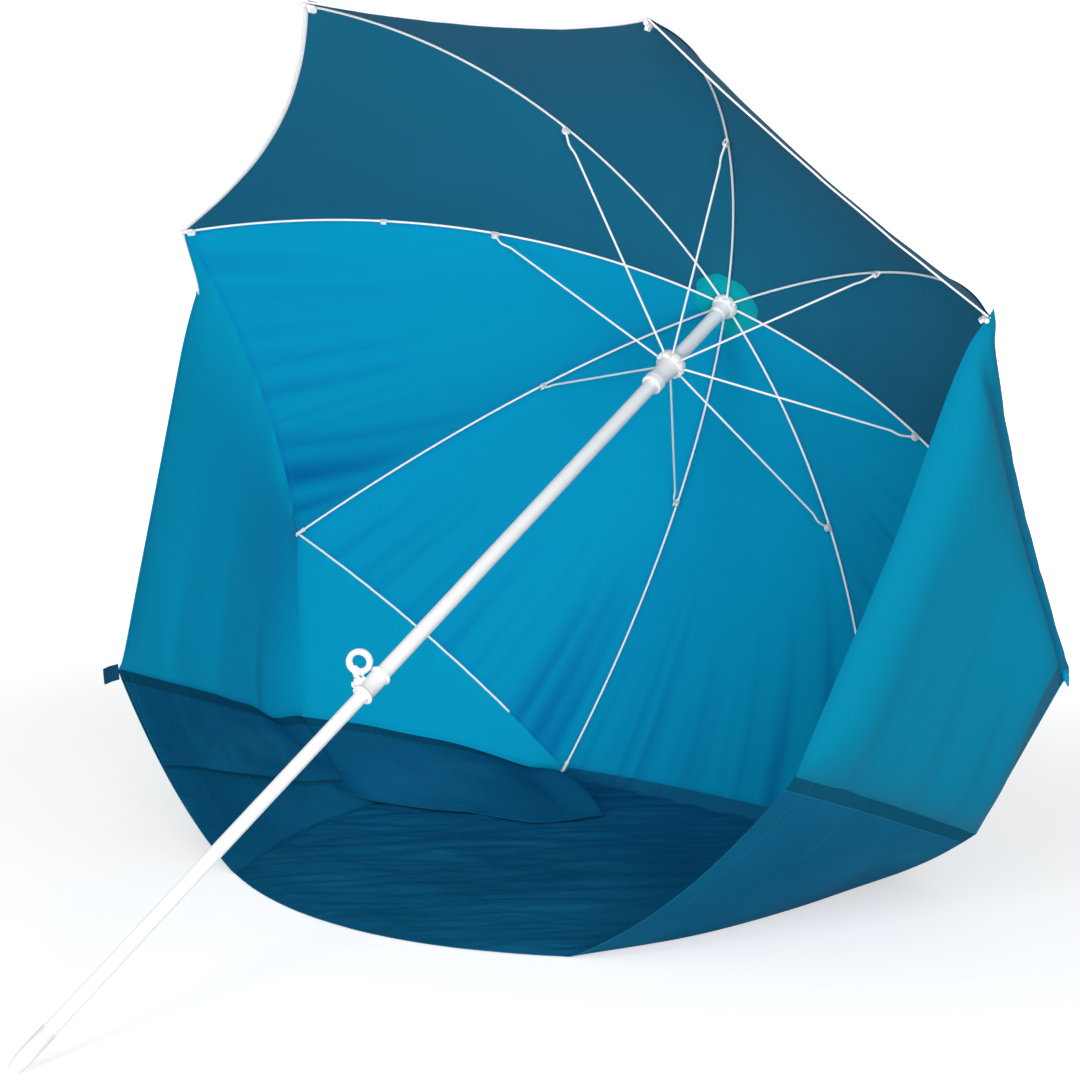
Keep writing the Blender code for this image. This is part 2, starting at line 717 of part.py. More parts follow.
def build_runner(frame):
    """The sliding barrel with its slotted crown and lower collar, its origin on the struts' pivots."""
    bore = UPPER_TUBE_RADIUS + CLEARANCE
    neck = -RUNNER_CROWN_DEPTH - RUNNER_BARREL_LENGTH
    foot = neck - RUNNER_COLLAR_LENGTH
    outline = [
        (bore, RUNNER_TOP),
        (CROWN_RADIUS - 4 * CROWN_EDGE, RUNNER_TOP),
        (CROWN_RADIUS - CROWN_EDGE, RUNNER_TOP - 2 * CROWN_EDGE),
        (CROWN_RADIUS, RUNNER_TOP - 5 * CROWN_EDGE),
        (CROWN_RADIUS, CROWN_EDGE - RUNNER_CROWN_DEPTH),
        (CROWN_RADIUS - CROWN_EDGE, -RUNNER_CROWN_DEPTH),
        (RUNNER_SHOULDER_RADIUS, -RUNNER_CROWN_DEPTH),
        (RUNNER_BARREL_RADIUS, neck),
        (RUNNER_COLLAR_RADIUS, neck - CROWN_EDGE),
        (RUNNER_COLLAR_RADIUS, foot + CROWN_EDGE),
        (RUNNER_COLLAR_RADIUS - CROWN_EDGE, foot),
        (bore, foot),
    ]
    slide = empty("runner_axis", frame, Matrix.Translation((0, 0, runner_pivot_height())))
    runner = place("runner", turned_mesh("runner", outline, POLE_SIDES, ring=True), white_plastic(), slide)
    cut_slots(runner, slide, 0, RUNNER_TOP, RUNNER_CROWN_DEPTH, RIB_RADIUS)


def build_clamp(frame):
    """The sleeve at the joint of the tubes, its looped lever and the lever's pin."""
    centre = RIM_HEIGHT - CLAMP_DROP
    turn = Matrix.Translation((0, 0, centre)) @ Matrix.Rotation(CLAMP_AZIMUTH, 4, "Z")
    clamp = empty("clamp_frame", frame, turn)
    half = CLAMP_LENGTH / 2
    edge = CLAMP_FLANGE_LENGTH
    wide = UPPER_TUBE_RADIUS + CLEARANCE
    tight = LOWER_TUBE_RADIUS + CLEARANCE
    outline = [
        (wide, half),
        (CLAMP_FLANGE_RADIUS, half),
        (CLAMP_FLANGE_RADIUS, half - edge / 2),
        (CLAMP_WAIST_RADIUS, half - edge),
        (CLAMP_WAIST_RADIUS, edge - half),
        (CLAMP_FLANGE_RADIUS, edge / 2 - half),
        (CLAMP_FLANGE_RADIUS, -half),
        (tight, -half),
        (tight, -CLAMP_STEP_DROP),
        (wide, -CLAMP_STEP_DROP),
    ]
    tube = turned_mesh("clamp_sleeve", outline, POLE_SIDES, ring=True)
    sleeve = place("clamp_sleeve", tube, white_plastic(), clamp)
    inner = LEVER_THICKNESS / 2 + CLEARANCE
    outer = inner + EAR_THICKNESS
    reach = LEVER_PIVOT_RADIUS + LEVER_BOSS_RADIUS
    root = (UPPER_TUBE_RADIUS + CLAMP_WAIST_RADIUS) / 2
    low, high = -LEVER_PIVOT_DROP - EAR_LENGTH / 2, -LEVER_PIVOT_DROP + EAR_LENGTH / 2
    for name, start, end in (("ear_left", inner, outer), ("ear_right", -outer, -inner)):
        ear = helper(name, block_mesh(name, (root, start, low), (reach, end, high)), clamp)
        shape_with(sleeve, ear, "UNION")
    at_pin = Matrix.Translation((LEVER_PIVOT_RADIUS, 0, -LEVER_PIVOT_DROP))
    across = at_pin @ Matrix.Rotation(-math.pi / 2, 4, "X")
    pin_span = outer + CLEARANCE
    hole = PIN_RADIUS + CLEARANCE
    drill_outline = [(0, outer + CUT_OVERRUN), (hole, outer + CUT_OVERRUN), (hole, -outer - CUT_OVERRUN)]
    drill_outline.append((0, -outer - CUT_OVERRUN))
    drill = turned_mesh("pin_hole", drill_outline, SMALL_SIDES)
    shape_with(sleeve, helper("pin_hole", drill, clamp, across), "DIFFERENCE")
    lever_reach = CLAMP_WAIST_RADIUS + SEAM_GAP + LEVER_RING_WIDTH / 2
    ring = ellipse(LEVER_RING_WIDTH, LEVER_RING_LENGTH, LEVER_RING_RISE, lever_reach)
    window = ellipse(LEVER_HOLE_WIDTH, LEVER_HOLE_LENGTH, LEVER_RING_RISE, lever_reach)
    pivot = empty("lever_axis", clamp, at_pin)
    back = Matrix.Translation((-LEVER_PIVOT_RADIUS, 0, LEVER_PIVOT_DROP))
    ring_plate = plate_mesh("clamp_lever", ring, LEVER_THICKNESS)
    lever = place("clamp_lever", ring_plate, white_plastic(), pivot, back)
    boss_width = 2 * LEVER_BOSS_RADIUS
    boss_outline = ellipse(boss_width, boss_width, -LEVER_PIVOT_DROP, LEVER_PIVOT_RADIUS)
    boss = helper("lever_boss", plate_mesh("lever_boss", boss_outline, LEVER_THICKNESS), clamp)
    shape_with(lever, boss, "UNION")
    thick = LEVER_THICKNESS + 2 * CUT_OVERRUN
    shape_with(lever, helper("lever_hole", plate_mesh("lever_hole", window, thick), clamp), "DIFFERENCE")
    shape_with(lever, helper("lever_drill", drill.copy(), clamp, across), "DIFFERENCE")
    outline = [
        (0, pin_span + PIN_HEAD_LENGTH),
        (PIN_HEAD_RADIUS, pin_span + PIN_HEAD_LENGTH),
        (PIN_HEAD_RADIUS, pin_span),
        (PIN_RADIUS, pin_span),
        (PIN_RADIUS, -pin_span),
        (PIN_HEAD_RADIUS, -pin_span),
        (PIN_HEAD_RADIUS, -pin_span - PIN_HEAD_LENGTH),
        (0, -pin_span - PIN_HEAD_LENGTH),
    ]
    place("clamp_pin", turned_mesh("clamp_pin", outline, SMALL_SIDES), pin_steel(), clamp, across)


def build_rib(number, frame):
    """One rib with its end cap and the bracket of its strut, hung on the hub."""
    turn = Matrix.Rotation(rib_azimuth(number), 4, "Z")
    axis = empty(f"rib_axis_{number}", frame, turn @ Matrix.Translation((PIVOT_RADIUS, 0, pivot_height())))
    rows = [row_angle(row) for row in range(GORE_ROWS + 1)]
    points = [arc_point(angle) for angle in [PIVOT_ANGLE] + [angle for angle in rows if angle > PIVOT_ANGLE]]
    points[-1] += tip_direction() * (TIP_CAP_OVERHANG / 2 - CLEARANCE)
    place(f"rib_{number}", wire_curve(f"rib_{number}", points, RIB_RADIUS), white_coat(), axis)
    tip = tip_direction()
    along = Matrix.Translation(arc_point(RIM_ANGLE)) @ Matrix.Rotation(math.atan2(tip.x, tip.z), 4, "Y")
    bore = RIB_RADIUS + CLEARANCE
    mouth = TIP_CAP_OVERHANG - TIP_CAP_LENGTH
    outline = [
        (bore, mouth),
        (TIP_CAP_RADIUS, mouth),
        (TIP_CAP_RADIUS, TIP_CAP_OVERHANG * 0.7),
        (TIP_CAP_RADIUS * 0.7, TIP_CAP_OVERHANG),
        (0, TIP_CAP_OVERHANG),
        (0, TIP_CAP_OVERHANG / 2),
        (bore, TIP_CAP_OVERHANG / 2),
    ]
    closed = outline[4:] + outline[:5]
    cap = turned_mesh(f"rib_tip_{number}", closed[1:], SMALL_SIDES)
    place(f"rib_tip_{number}", cap, white_plastic(), axis, along)
    at_joint = joint_frame()
    half = BRACKET_LENGTH / 2
    side = STRUT_RADIUS + SLOT_CLEARANCE + BRACKET_CHEEK
    low, high = -BRACKET_DROP - BRACKET_FOOT, BRACKET_TOP
    clip = block_mesh(f"rib_bracket_{number}", (-half, -side, low), (half, side, high))
    bracket = place(f"rib_bracket_{number}", clip, white_plastic(), axis, at_joint)
    outline = [(0, half * 2), (bore, half * 2), (bore, -half * 2), (0, -half * 2)]
    groove = turned_mesh(f"rib_groove_{number}", outline, SMALL_SIDES)
    lying = at_joint @ Matrix.Rotation(math.pi / 2, 4, "Y")
    shape_with(bracket, helper(f"rib_groove_{number}", groove, axis, lying), "DIFFERENCE")
    slot = STRUT_RADIUS + SLOT_CLEARANCE
    roof = -BRACKET_DROP + STRUT_RADIUS + CLEARANCE
    fork = block_mesh(f"fork_{number}", (-half * 2, -slot, low - CUT_OVERRUN), (half * 2, slot, roof))
    shape_with(bracket, helper(f"fork_{number}", fork, axis, at_joint), "DIFFERENCE")
    return axis


def build_strut(number, frame):
    """One strut, its origin on its pivot at the rib bracket."""
    radius, height = rib_joint()
    turn = Matrix.Rotation(rib_azimuth(number), 4, "Z")
    axis = empty(f"strut_axis_{number}", frame, turn @ Matrix.Translation((radius, 0, height)))
    inner = Vector((PIVOT_RADIUS - radius, 0, runner_pivot_height() - height))
    length = inner.length
    hook = Vector((inner.z, 0, -inner.x)).normalized() * STRUT_HOOK
    hook_share = STRUT_HOOK_LENGTH / length
    shares = [hook_share * step / 6 for step in range(7)] + [0.55, 1.0]
    points = []
    for share in shares:
        bow = math.sin(math.pi * share / hook_share) ** 2 if share < hook_share else 0
        points.append(inner * share - hook * bow)
    place(f"strut_{number}", wire_curve(f"strut_{number}", points, STRUT_RADIUS), white_coat(), axis)


def build_canopy(frame):
    """Eight gores, the patch inside them at the hub and the cap outside."""
    inside = tent_middle()
    for number in range(1, RIB_COUNT + 1):
        finish = dark_cloth() if number in (1, 2, 3, 8) else bright_cloth()
        name = f"gore_{number}"
        cloth(name, lambda u, v: gore_point(number, u, v), GORE_COLUMNS, GORE_ROWS, finish, frame, inside)

    def patch_point(u, v):
        turn = RIB_COUNT * u
        number = int(turn)
        drop = PATCH_THICKNESS + CLEARANCE
        points = [canopy_point(number, turn - number, row_angle(row), drop) for row in range(3)]
        if v < 1:
            return points[0].lerp(points[1], 2 * v)
        return points[1].lerp(points[2], PATCH_SHARE + PATCH_LOBE_SHARE * math.cos(2 * math.pi * turn))

    columns = RIB_COUNT * GORE_COLUMNS
    cloth("hub_patch", patch_point, columns, 2, patch_cloth(), frame, inside, PATCH_THICKNESS, wrap=True)


def build_cap(frame):
    """The cap that clamps the canopy to the hub."""
    base = pivot_height() + CAP_RISE
    foot = pivot_height() + HUB_TOP + CLEARANCE
    outline = [
        (0, base + CAP_HEIGHT),
        (CAP_RADIUS * 0.45, base + CAP_HEIGHT * 0.9),
        (CAP_RADIUS * 0.82, base + CAP_HEIGHT * 0.55),
        (CAP_RADIUS, base + CAP_HEIGHT * 0.15),
        (CAP_RADIUS, base),
        (CAP_STEM_RADIUS, base),
        (CAP_STEM_RADIUS, foot),
        (0, foot),
    ]
    place("top_cap", turned_mesh("top_cap", outline, POLE_SIDES), white_plastic(), frame)


def build_walls(frame):
    """Side walls, dark bands, inner flaps and the floor."""
    inside = tent_middle()
    below = tent_middle() - Vector((0, 0, 2 * RIM_HEIGHT))
    for side, word in ((-1, "left"), (1, "right")):
        for name, point_at in ((f"{word}_wall", wall_point), (f"{word}_rear_wall", rear_wall_point)):
            sheet = partial(point_at, side)
            cloth(name, sheet, WALL_COLUMNS, WALL_ROWS, wall_cloth(), frame, inside)
        band = partial(band_point, side)
        cloth(f"{word}_band", band, BAND_COLUMNS, BAND_ROWS, navy_sheet(), frame, inside)
        flap = partial(flap_point, side)
        cloth(f"{word}_flap", flap, BAND_COLUMNS, BAND_ROWS, navy_sheet(), frame, below)
    cloth("floor_sheet", floor_point, FLOOR_COLUMNS, FLOOR_ROWS, navy_sheet(), frame, below)


def build_peg_loop(frame):
    """A folded webbing loop beside the left front corner."""
    corner = front_corner(-1)
    outer = ellipse(LOOP_LENGTH, LOOP_GAP + 2 * LOOP_WEBBING)
    inner = ellipse(LOOP_LENGTH - 2 * LOOP_WEBBING, LOOP_GAP)
    shift = Matrix.Translation(corner - Vector((LOOP_LENGTH / 2 + LOOP_OFFSET, 0, 0)))
    loop = place("peg_loop", plate_mesh("peg_loop", outer, LOOP_WIDTH), navy_webbing(), frame, shift)
    gap = plate_mesh("loop_gap", inner, LOOP_WIDTH + 2 * CUT_OVERRUN)
    shape_with(loop, helper("loop_gap", gap, frame, shift), "DIFFERENCE")


def centre_on_ground(root):
    """Move the tent so that its origin is below the middle of its box, on the ground."""
    bpy.context.view_layer.update()
    low, high = Vector((math.inf,) * 3), Vector((-math.inf,) * 3)
    state = bpy.context.evaluated_depsgraph_get()
    for item in bpy.context.scene.objects:
        if item.type == "EMPTY" or item.hide_render:
            continue
        solid = item.evaluated_get(state)
        mesh = solid.to_mesh()
        for vertex in mesh.vertices:
            point = solid.matrix_world @ vertex.co
            low = Vector(map(min, low, point))
            high = Vector(map(max, high, point))
        solid.to_mesh_clear()
    root.location = (-(low.x + high.x) / 2, -(low.y + high.y) / 2, -low.z)


def main():
    """Build the whole tent."""
    clear_scene()
    root = empty("tent_frame")
    pole = empty("pole_frame", root, LEAN_MATRIX)
    build_pole(pole)
    build_hub(pole)
    build_runner(pole)
    build_clamp(pole)
    for number in range(1, RIB_COUNT + 1):
        build_rib(number, pole)
        build_strut(number, pole)
    build_canopy(root)
    build_cap(pole)
    build_walls(root)
    build_peg_loop(root)
    centre_on_ground(root)


main()
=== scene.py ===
"""Looks of the beach tent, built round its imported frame.

Metres, +Z up. The tent's own frame has its origin midway between the two rib tips on the ground;
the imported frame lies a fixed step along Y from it.
"""

import logging
import math
import random
from collections.abc import Callable, Sequence
from dataclasses import dataclass, field
from enum import Enum

import bmesh
import bpy
import numpy as np
from mathutils import Matrix, Vector, noise


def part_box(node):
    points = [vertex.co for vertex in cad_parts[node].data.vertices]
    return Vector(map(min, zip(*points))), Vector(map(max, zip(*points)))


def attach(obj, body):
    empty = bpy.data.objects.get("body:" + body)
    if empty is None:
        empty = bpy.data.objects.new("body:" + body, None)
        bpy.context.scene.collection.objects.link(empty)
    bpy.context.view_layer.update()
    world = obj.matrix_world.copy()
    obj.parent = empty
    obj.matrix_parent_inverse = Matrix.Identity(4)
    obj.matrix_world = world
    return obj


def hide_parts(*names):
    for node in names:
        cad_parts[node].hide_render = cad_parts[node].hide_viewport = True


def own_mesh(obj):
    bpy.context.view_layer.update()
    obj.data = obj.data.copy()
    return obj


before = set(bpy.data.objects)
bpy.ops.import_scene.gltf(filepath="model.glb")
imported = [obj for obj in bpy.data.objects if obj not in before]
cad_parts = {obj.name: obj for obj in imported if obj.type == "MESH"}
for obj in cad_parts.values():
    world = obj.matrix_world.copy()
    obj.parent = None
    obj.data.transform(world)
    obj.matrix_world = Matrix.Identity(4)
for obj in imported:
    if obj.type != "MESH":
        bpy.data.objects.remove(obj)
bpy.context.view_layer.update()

LOG = logging.getLogger("beach_tent")
ROOT = "upper_pole_and_cloth"
SMOOTH_ANGLE = math.radians(40)

# The fold mark carries painted shade: how far a sheet is darkened in its folds.
SHEET_MARKS = ("edge", "run", "fold")
CLOTH_MAP = "cloth"
NO_HEM = 9.0
LEAST_BOX_SHARE = 0.31
RIBBON_SIDES = 12

SurfacePoint = Callable[[float, float], Vector]
Colour = tuple[float, float, float]
Piece = bpy.types.Object
Socket = bpy.types.NodeSocket
Tree = bpy.types.NodeTree
Material = bpy.types.Material
Outline = Sequence[tuple[float, float]]


class Side(Enum):
    """A side of the tent, seen from its open front."""

    LEFT = -1
    RIGHT = 1

    @property
    def word(self) -> str:
        """The side's name in lower case."""
        return self.name.lower()


class Edge(Enum):
    """The edges of a sheet's grid, u across and v down."""

    START = "start"
    END = "end"
    TOP = "top"
    BOTTOM = "bottom"


# --- Node groups and finishes -------------------------------------------------------------------


class Graph:
    """Adds nodes to one node tree and links them."""

    def __init__(self, tree: Tree) -> None:
        """Work on a tree.

        Args:
            tree: the material's or group's node tree.
        """
        self.tree = tree

    def add(
        self, kind: str, settings: dict[str, object] | None = None, **inputs: object
    ) -> bpy.types.Node:
        """Add a node.

        Args:
            kind: the node's Blender type.
            settings: attributes of the node itself.
            inputs: socket values or sockets to link, by socket name with _ for a space.

        Returns:
            The new node.
        """
        node = self.tree.nodes.new(kind)
        for name, value in (settings or {}).items():
            setattr(node, name, value)
        for name, value in inputs.items():
            self.put(node.inputs[name.replace("_", " ")], value)
        return node

    def put(self, socket: Socket, value: object) -> None:
        """Set a socket's value, or link another socket to it."""
        if isinstance(value, Socket):
            self.tree.links.new(value, socket)
        else:
            socket.default_value = value

    def use(self, tree: Tree, **inputs: object) -> bpy.types.NodeOutputs:
        """Place a node group with its own inputs and return its outputs."""
        return self.add("ShaderNodeGroup", {"node_tree": tree}, **inputs).outputs

    def cloth_marks(self) -> list[Socket]:
        """A sheet's cloth map, then its edge and run marks and its fold mark of painted shade."""
        nodes = [self.add("ShaderNodeAttribute", {"attribute_name": name}) for name in SHEET_MARKS]
        place = self.add("ShaderNodeUVMap", {"uv_map": CLOTH_MAP}).outputs[0]
        return [place, *(node.outputs["Fac"] for node in nodes)]

    def math(self, operation: str, *values: object, clamp: bool = False) -> Socket:
        """Add a Math node.

        Args:
            operation: the Math node's operation.
            values: numbers or sockets for its inputs, in order.
            clamp: keep the result between 0 and 1.

        Returns:
            Its output socket.
        """
        node = self.tree.nodes.new("ShaderNodeMath")
        node.operation = operation
        node.use_clamp = clamp
        for socket, value in zip(node.inputs, values):
            self.put(socket, value)
        return node.outputs[0]

    def blend(self, mask: object, first: object, second: object) -> Socket:
        """Mix two colours by a mask.

        Args:
            mask: the share of the second colour.
            first: a colour or a colour socket.
            second: a colour or a colour socket.

        Returns:
            The mixed colour's socket.
        """
        node = self.tree.nodes.new("ShaderNodeMix")
        node.data_type = "RGBA"
        self.put(node.inputs[0], mask)
        self.put(node.inputs[6], first if isinstance(first, Socket) else (*first, 1))
        self.put(node.inputs[7], second if isinstance(second, Socket) else (*second, 1))
        return node.outputs[2]

    def scale(self, vector: object, factors: Sequence[float]) -> Socket:
        """Multiply a vector by three fixed factors and return the result's socket."""
        node = self.add("ShaderNodeVectorMath", {"operation": "MULTIPLY"})
        self.put(node.inputs[0], vector)
        node.inputs[1].default_value = factors
        return node.outputs[0]

    def band(self, value: object, low: float, high: float) -> Socket:
        """A mask that rises smoothly from 0 to 1 between two values."""
        node = self.add("ShaderNodeMapRange", {"interpolation_type": "SMOOTHSTEP"})
        self.put(node.inputs["Value"], value)
        node.inputs["From Min"].default_value = low
        node.inputs["From Max"].default_value = high
        return node.outputs[0]


def make_group(
    name: str, inputs: dict[str, tuple[str, object]], outputs: Sequence[str]
) -> tuple[Graph, bpy.types.Node, bpy.types.Node]:
    """Start a shader node group with named sockets.

    Args:
        name: the group's name.
        inputs: socket type and value by name.
        outputs: names of the number outputs.

    Returns:
        The group's graph, its input node and its output node.
    """
    tree = bpy.data.node_groups.new(name, "ShaderNodeTree")
    for label, (kind, value) in inputs.items():
        socket = tree.interface.new_socket(label, in_out="INPUT", socket_type=kind)
        if value is not None:
            socket.default_value = value
    for label in outputs:
        tree.interface.new_socket(label, in_out="OUTPUT", socket_type="NodeSocketFloat")
    graph = Graph(tree)
    return graph, graph.add("NodeGroupInput"), graph.add("NodeGroupOutput")


class Effects:
    """The node groups that several finishes share."""

    def __init__(self) -> None:
        """Build every group once."""
        self.threads = self.build_threads()
        self.stitches = self.build_stitches()
        self.mottle = self.build_mottle()
        self.crumple = self.build_crumple()
        self.packing = self.build_packing()
        self.handling = self.build_handling()

    def build_threads(self) -> Tree:
        """Woven threads that cross at right angles: Height over the cloth."""
        sockets = {"Vector": ("NodeSocketVector", None), "Pitch": ("NodeSocketFloat", 0.001)}
        graph, source, sink = make_group("woven_threads", sockets, ["Height"])
        parts = graph.add("ShaderNodeSeparateXYZ", Vector=source.outputs["Vector"])
        waves = []
        for axis in ("X", "Y"):
            turns = graph.math("DIVIDE", parts.outputs[axis], source.outputs["Pitch"])
            waves.append(graph.math("SINE", graph.math("MULTIPLY", turns, math.tau)))
        graph.put(sink.inputs["Height"], graph.math("MULTIPLY", *waves))
        return graph.tree

    def build_stitches(self) -> Tree:
        """A stitched line at a fixed distance from an edge: Thread and Pucker masks."""
        sockets = {
            "Edge": ("NodeSocketFloat", 1.0),
            "Run": ("NodeSocketFloat", 0.0),
            "Offset": ("NodeSocketFloat", 0.008),
            "Length": ("NodeSocketFloat", 0.0035),
        }
        graph, source, sink = make_group("stitched_line", sockets, ["Thread", "Pucker"])
        away = graph.math("SUBTRACT", source.outputs["Edge"], source.outputs["Offset"])
        off = graph.math("ABSOLUTE", away)
        line = graph.math("SUBTRACT", 1.0, graph.band(off, 0.0003, 0.0008))
        turns = graph.math("DIVIDE", source.outputs["Run"], source.outputs["Length"])
        dash = graph.math("LESS_THAN", graph.math("FRACT", turns), 0.72)
        graph.put(sink.inputs["Thread"], graph.math("MULTIPLY", line, dash))
        graph.put(sink.inputs["Pucker"], graph.math("SUBTRACT", 1.0, graph.band(off, 0.0, 0.0035)))
        return graph.tree

    def build_mottle(self) -> Tree:
        """Soft uneven shading of dyed cloth: a Factor from 0 to 1."""
        sockets = {"Vector": ("NodeSocketVector", None), "Scale": ("NodeSocketFloat", 3.0)}
        graph, source, sink = make_group("dye_mottle", sockets, ["Factor"])
        scale = source.outputs["Scale"]
        cloud = graph.add("ShaderNodeTexNoise", Vector=source.outputs["Vector"], Scale=scale, Detail=4.0)
        graph.put(sink.inputs["Factor"], graph.band(cloud.outputs[0], 0.3, 0.7))
        return graph.tree

    def build_crumple(self) -> Tree:
        """Creases of a coated sheet that was folded small: Height, and a mask of the ridges that get a
        painted highlight.
        """
        sockets = {"Vector": ("NodeSocketVector", None), "Scale": ("NodeSocketFloat", 14.0)}
        graph, source, sink = make_group("crumpled_sheet", sockets, ["Height", "Ridge"])
        vector, scale = source.outputs["Vector"], source.outputs["Scale"]
        warp = graph.add("ShaderNodeTexNoise", Vector=vector, Scale=scale, Detail=2.0)
        mixed = graph.add("ShaderNodeVectorMath", {"operation": "MULTIPLY_ADD"})
        graph.put(mixed.inputs[0], warp.outputs[1])
        mixed.inputs[1].default_value = (0.06, 0.06, 0.06)
        graph.put(mixed.inputs[2], vector)
        kind = {"noise_type": "RIDGED_MULTIFRACTAL", "normalize": True}
        ridges = graph.add("ShaderNodeTexNoise", kind, Vector=mixed.outputs[0], Scale=scale, Detail=4.0)
        fine = {"Vector": mixed.outputs[0], "Scale": scale, "Detail": 5.0, "Roughness": 0.6}
        rolls = graph.add("ShaderNodeTexNoise", **fine)
        height = graph.math("ADD", graph.math("MULTIPLY", ridges.outputs[0], 0.6), rolls.outputs[0])
        graph.put(sink.inputs["Height"], height)
        graph.put(sink.inputs["Ridge"], graph.band(height, 0.62, 1.15))
        return graph.tree

    def build_packing(self) -> Tree:
        """Sharp straight folds left by packing, at an even pitch along the cloth: Line mask."""
        sockets = {"Vector": ("NodeSocketVector", None), "Pitch": ("NodeSocketFloat", 0.13)}
        graph, source, sink = make_group("packing_folds", sockets, ["Line"])
        sway = graph.add("ShaderNodeTexNoise", Vector=source.outputs["Vector"], Scale=3.0, Detail=2.0)
        parts = graph.add("ShaderNodeSeparateXYZ", Vector=source.outputs["Vector"])
        bent = graph.math("MULTIPLY_ADD", sway.outputs[0], 0.03, parts.outputs["X"])
        turns = graph.math("DIVIDE", bent, source.outputs["Pitch"])
        away = graph.math("ABSOLUTE", graph.math("SUBTRACT", graph.math("FRACT", turns), 0.5))
        line = graph.math("SUBTRACT", 1.0, graph.band(away, 0.004, 0.018))
        graph.put(sink.inputs["Line"], graph.math("MULTIPLY", line, graph.band(sway.outputs[0], 0.3, 0.6)))
        return graph.tree

    def build_handling(self) -> Tree:
        """Faint scuffs and dust of handled plastic or coated steel: Scuff and Dust masks."""
        sockets = {"Scale": ("NodeSocketFloat", 60.0)}
        graph, source, sink = make_group("handling_marks", sockets, ["Scuff", "Dust"])
        place = graph.add("ShaderNodeTexCoord").outputs["Object"]
        fine = graph.add("ShaderNodeTexNoise", Vector=place, Scale=source.outputs["Scale"], Detail=6.0)
        broad = graph.add("ShaderNodeTexNoise", Vector=place, Scale=9.0, Detail=3.0)
        graph.put(sink.inputs["Scuff"], graph.band(fine.outputs[0], 0.52, 0.78))
        graph.put(sink.inputs["Dust"], graph.band(broad.outputs[0], 0.45, 0.8))
        return graph.tree


def start_material(name: str) -> tuple[Material, Graph, bpy.types.Node]:
    """A new node material.

    Args:
        name: the finish's name.

    Returns:
        The material, its graph and its Principled shader.
    """
    finish = bpy.data.materials.new(name)
    finish.use_nodes = True
    return finish, Graph(finish.node_tree), finish.node_tree.nodes["Principled BSDF"]


@dataclass(frozen=True)
class ClothFinish:
    """Dyed woven cloth with stitched hems, its folds darkened with painted shade."""

    slot: str
    colour: Colour
    deep: Colour
    shade: Colour
    thread: Colour
    roughness: float = 0.8
    sheen: float = 0.02
    specular: float = 0.05
    pitch: float = 0.0011
    mottle_scale: float = 2.2
    stitch_offset: float = 0.009
    stitch_depth: float = 0.0005
    thread_height: float = 0.00006
    wave_height: float = 0.004
    hem_end: tuple[float, float] = (0.0105, 0.0125)

    def make(self, effects: Effects) -> Material:
        """Build the material.

        Args:
            effects: the shared node groups.

        Returns:
            The material.
        """
        finish, graph, shader = start_material(self.slot)
        place, edge, run, fold = graph.cloth_marks()
        along = graph.scale(place, (1.0, 0.35, 1.0))
        mottle = graph.use(effects.mottle, Vector=along, Scale=self.mottle_scale)["Factor"]
        stitches = graph.use(effects.stitches, Edge=edge, Run=run, Offset=self.stitch_offset)
        threads = graph.use(effects.threads, Vector=place, Pitch=self.pitch)
        colour = graph.blend(graph.math("MULTIPLY", mottle, 0.7), self.colour, self.deep)
        # Painted shade: cloth in folds is darkened towards the shade colour by the fold mark.
        colour = graph.blend(graph.math("MULTIPLY", fold, 1.0, clamp=True), colour, self.shade)
        hem = graph.math("SUBTRACT", 1.0, graph.band(edge, *self.hem_end))
        colour = graph.blend(graph.math("MULTIPLY", hem, 0.2), colour, self.shade)
        colour = graph.blend(graph.math("MULTIPLY", stitches["Thread"], 0.5), colour, self.thread)
        graph.put(shader.inputs["Base Color"], colour)
        rough = graph.math("ADD", graph.math("MULTIPLY", mottle, 0.08), self.roughness)
        graph.put(shader.inputs["Roughness"], rough)
        shader.inputs["Sheen Weight"].default_value = self.sheen
        shader.inputs["Specular IOR Level"].default_value = self.specular
        relief = graph.math("MULTIPLY", threads["Height"], self.thread_height)
        dent = graph.math("MULTIPLY", stitches["Pucker"], -self.stitch_depth)
        soft = graph.add("ShaderNodeTexNoise", Scale=7.0, Detail=3.0)
        graph.put(soft.inputs["Vector"], graph.scale(place, (1.0, 0.3, 1.0)))
        waves = graph.math("MULTIPLY", soft.outputs[0], self.wave_height)
        height = graph.math("ADD", graph.math("ADD", relief, dent), waves)
        bump = graph.add("ShaderNodeBump", Strength=0.5, Distance=1.0, Height=height)
        graph.put(shader.inputs["Normal"], bump.outputs[0])
        return finish


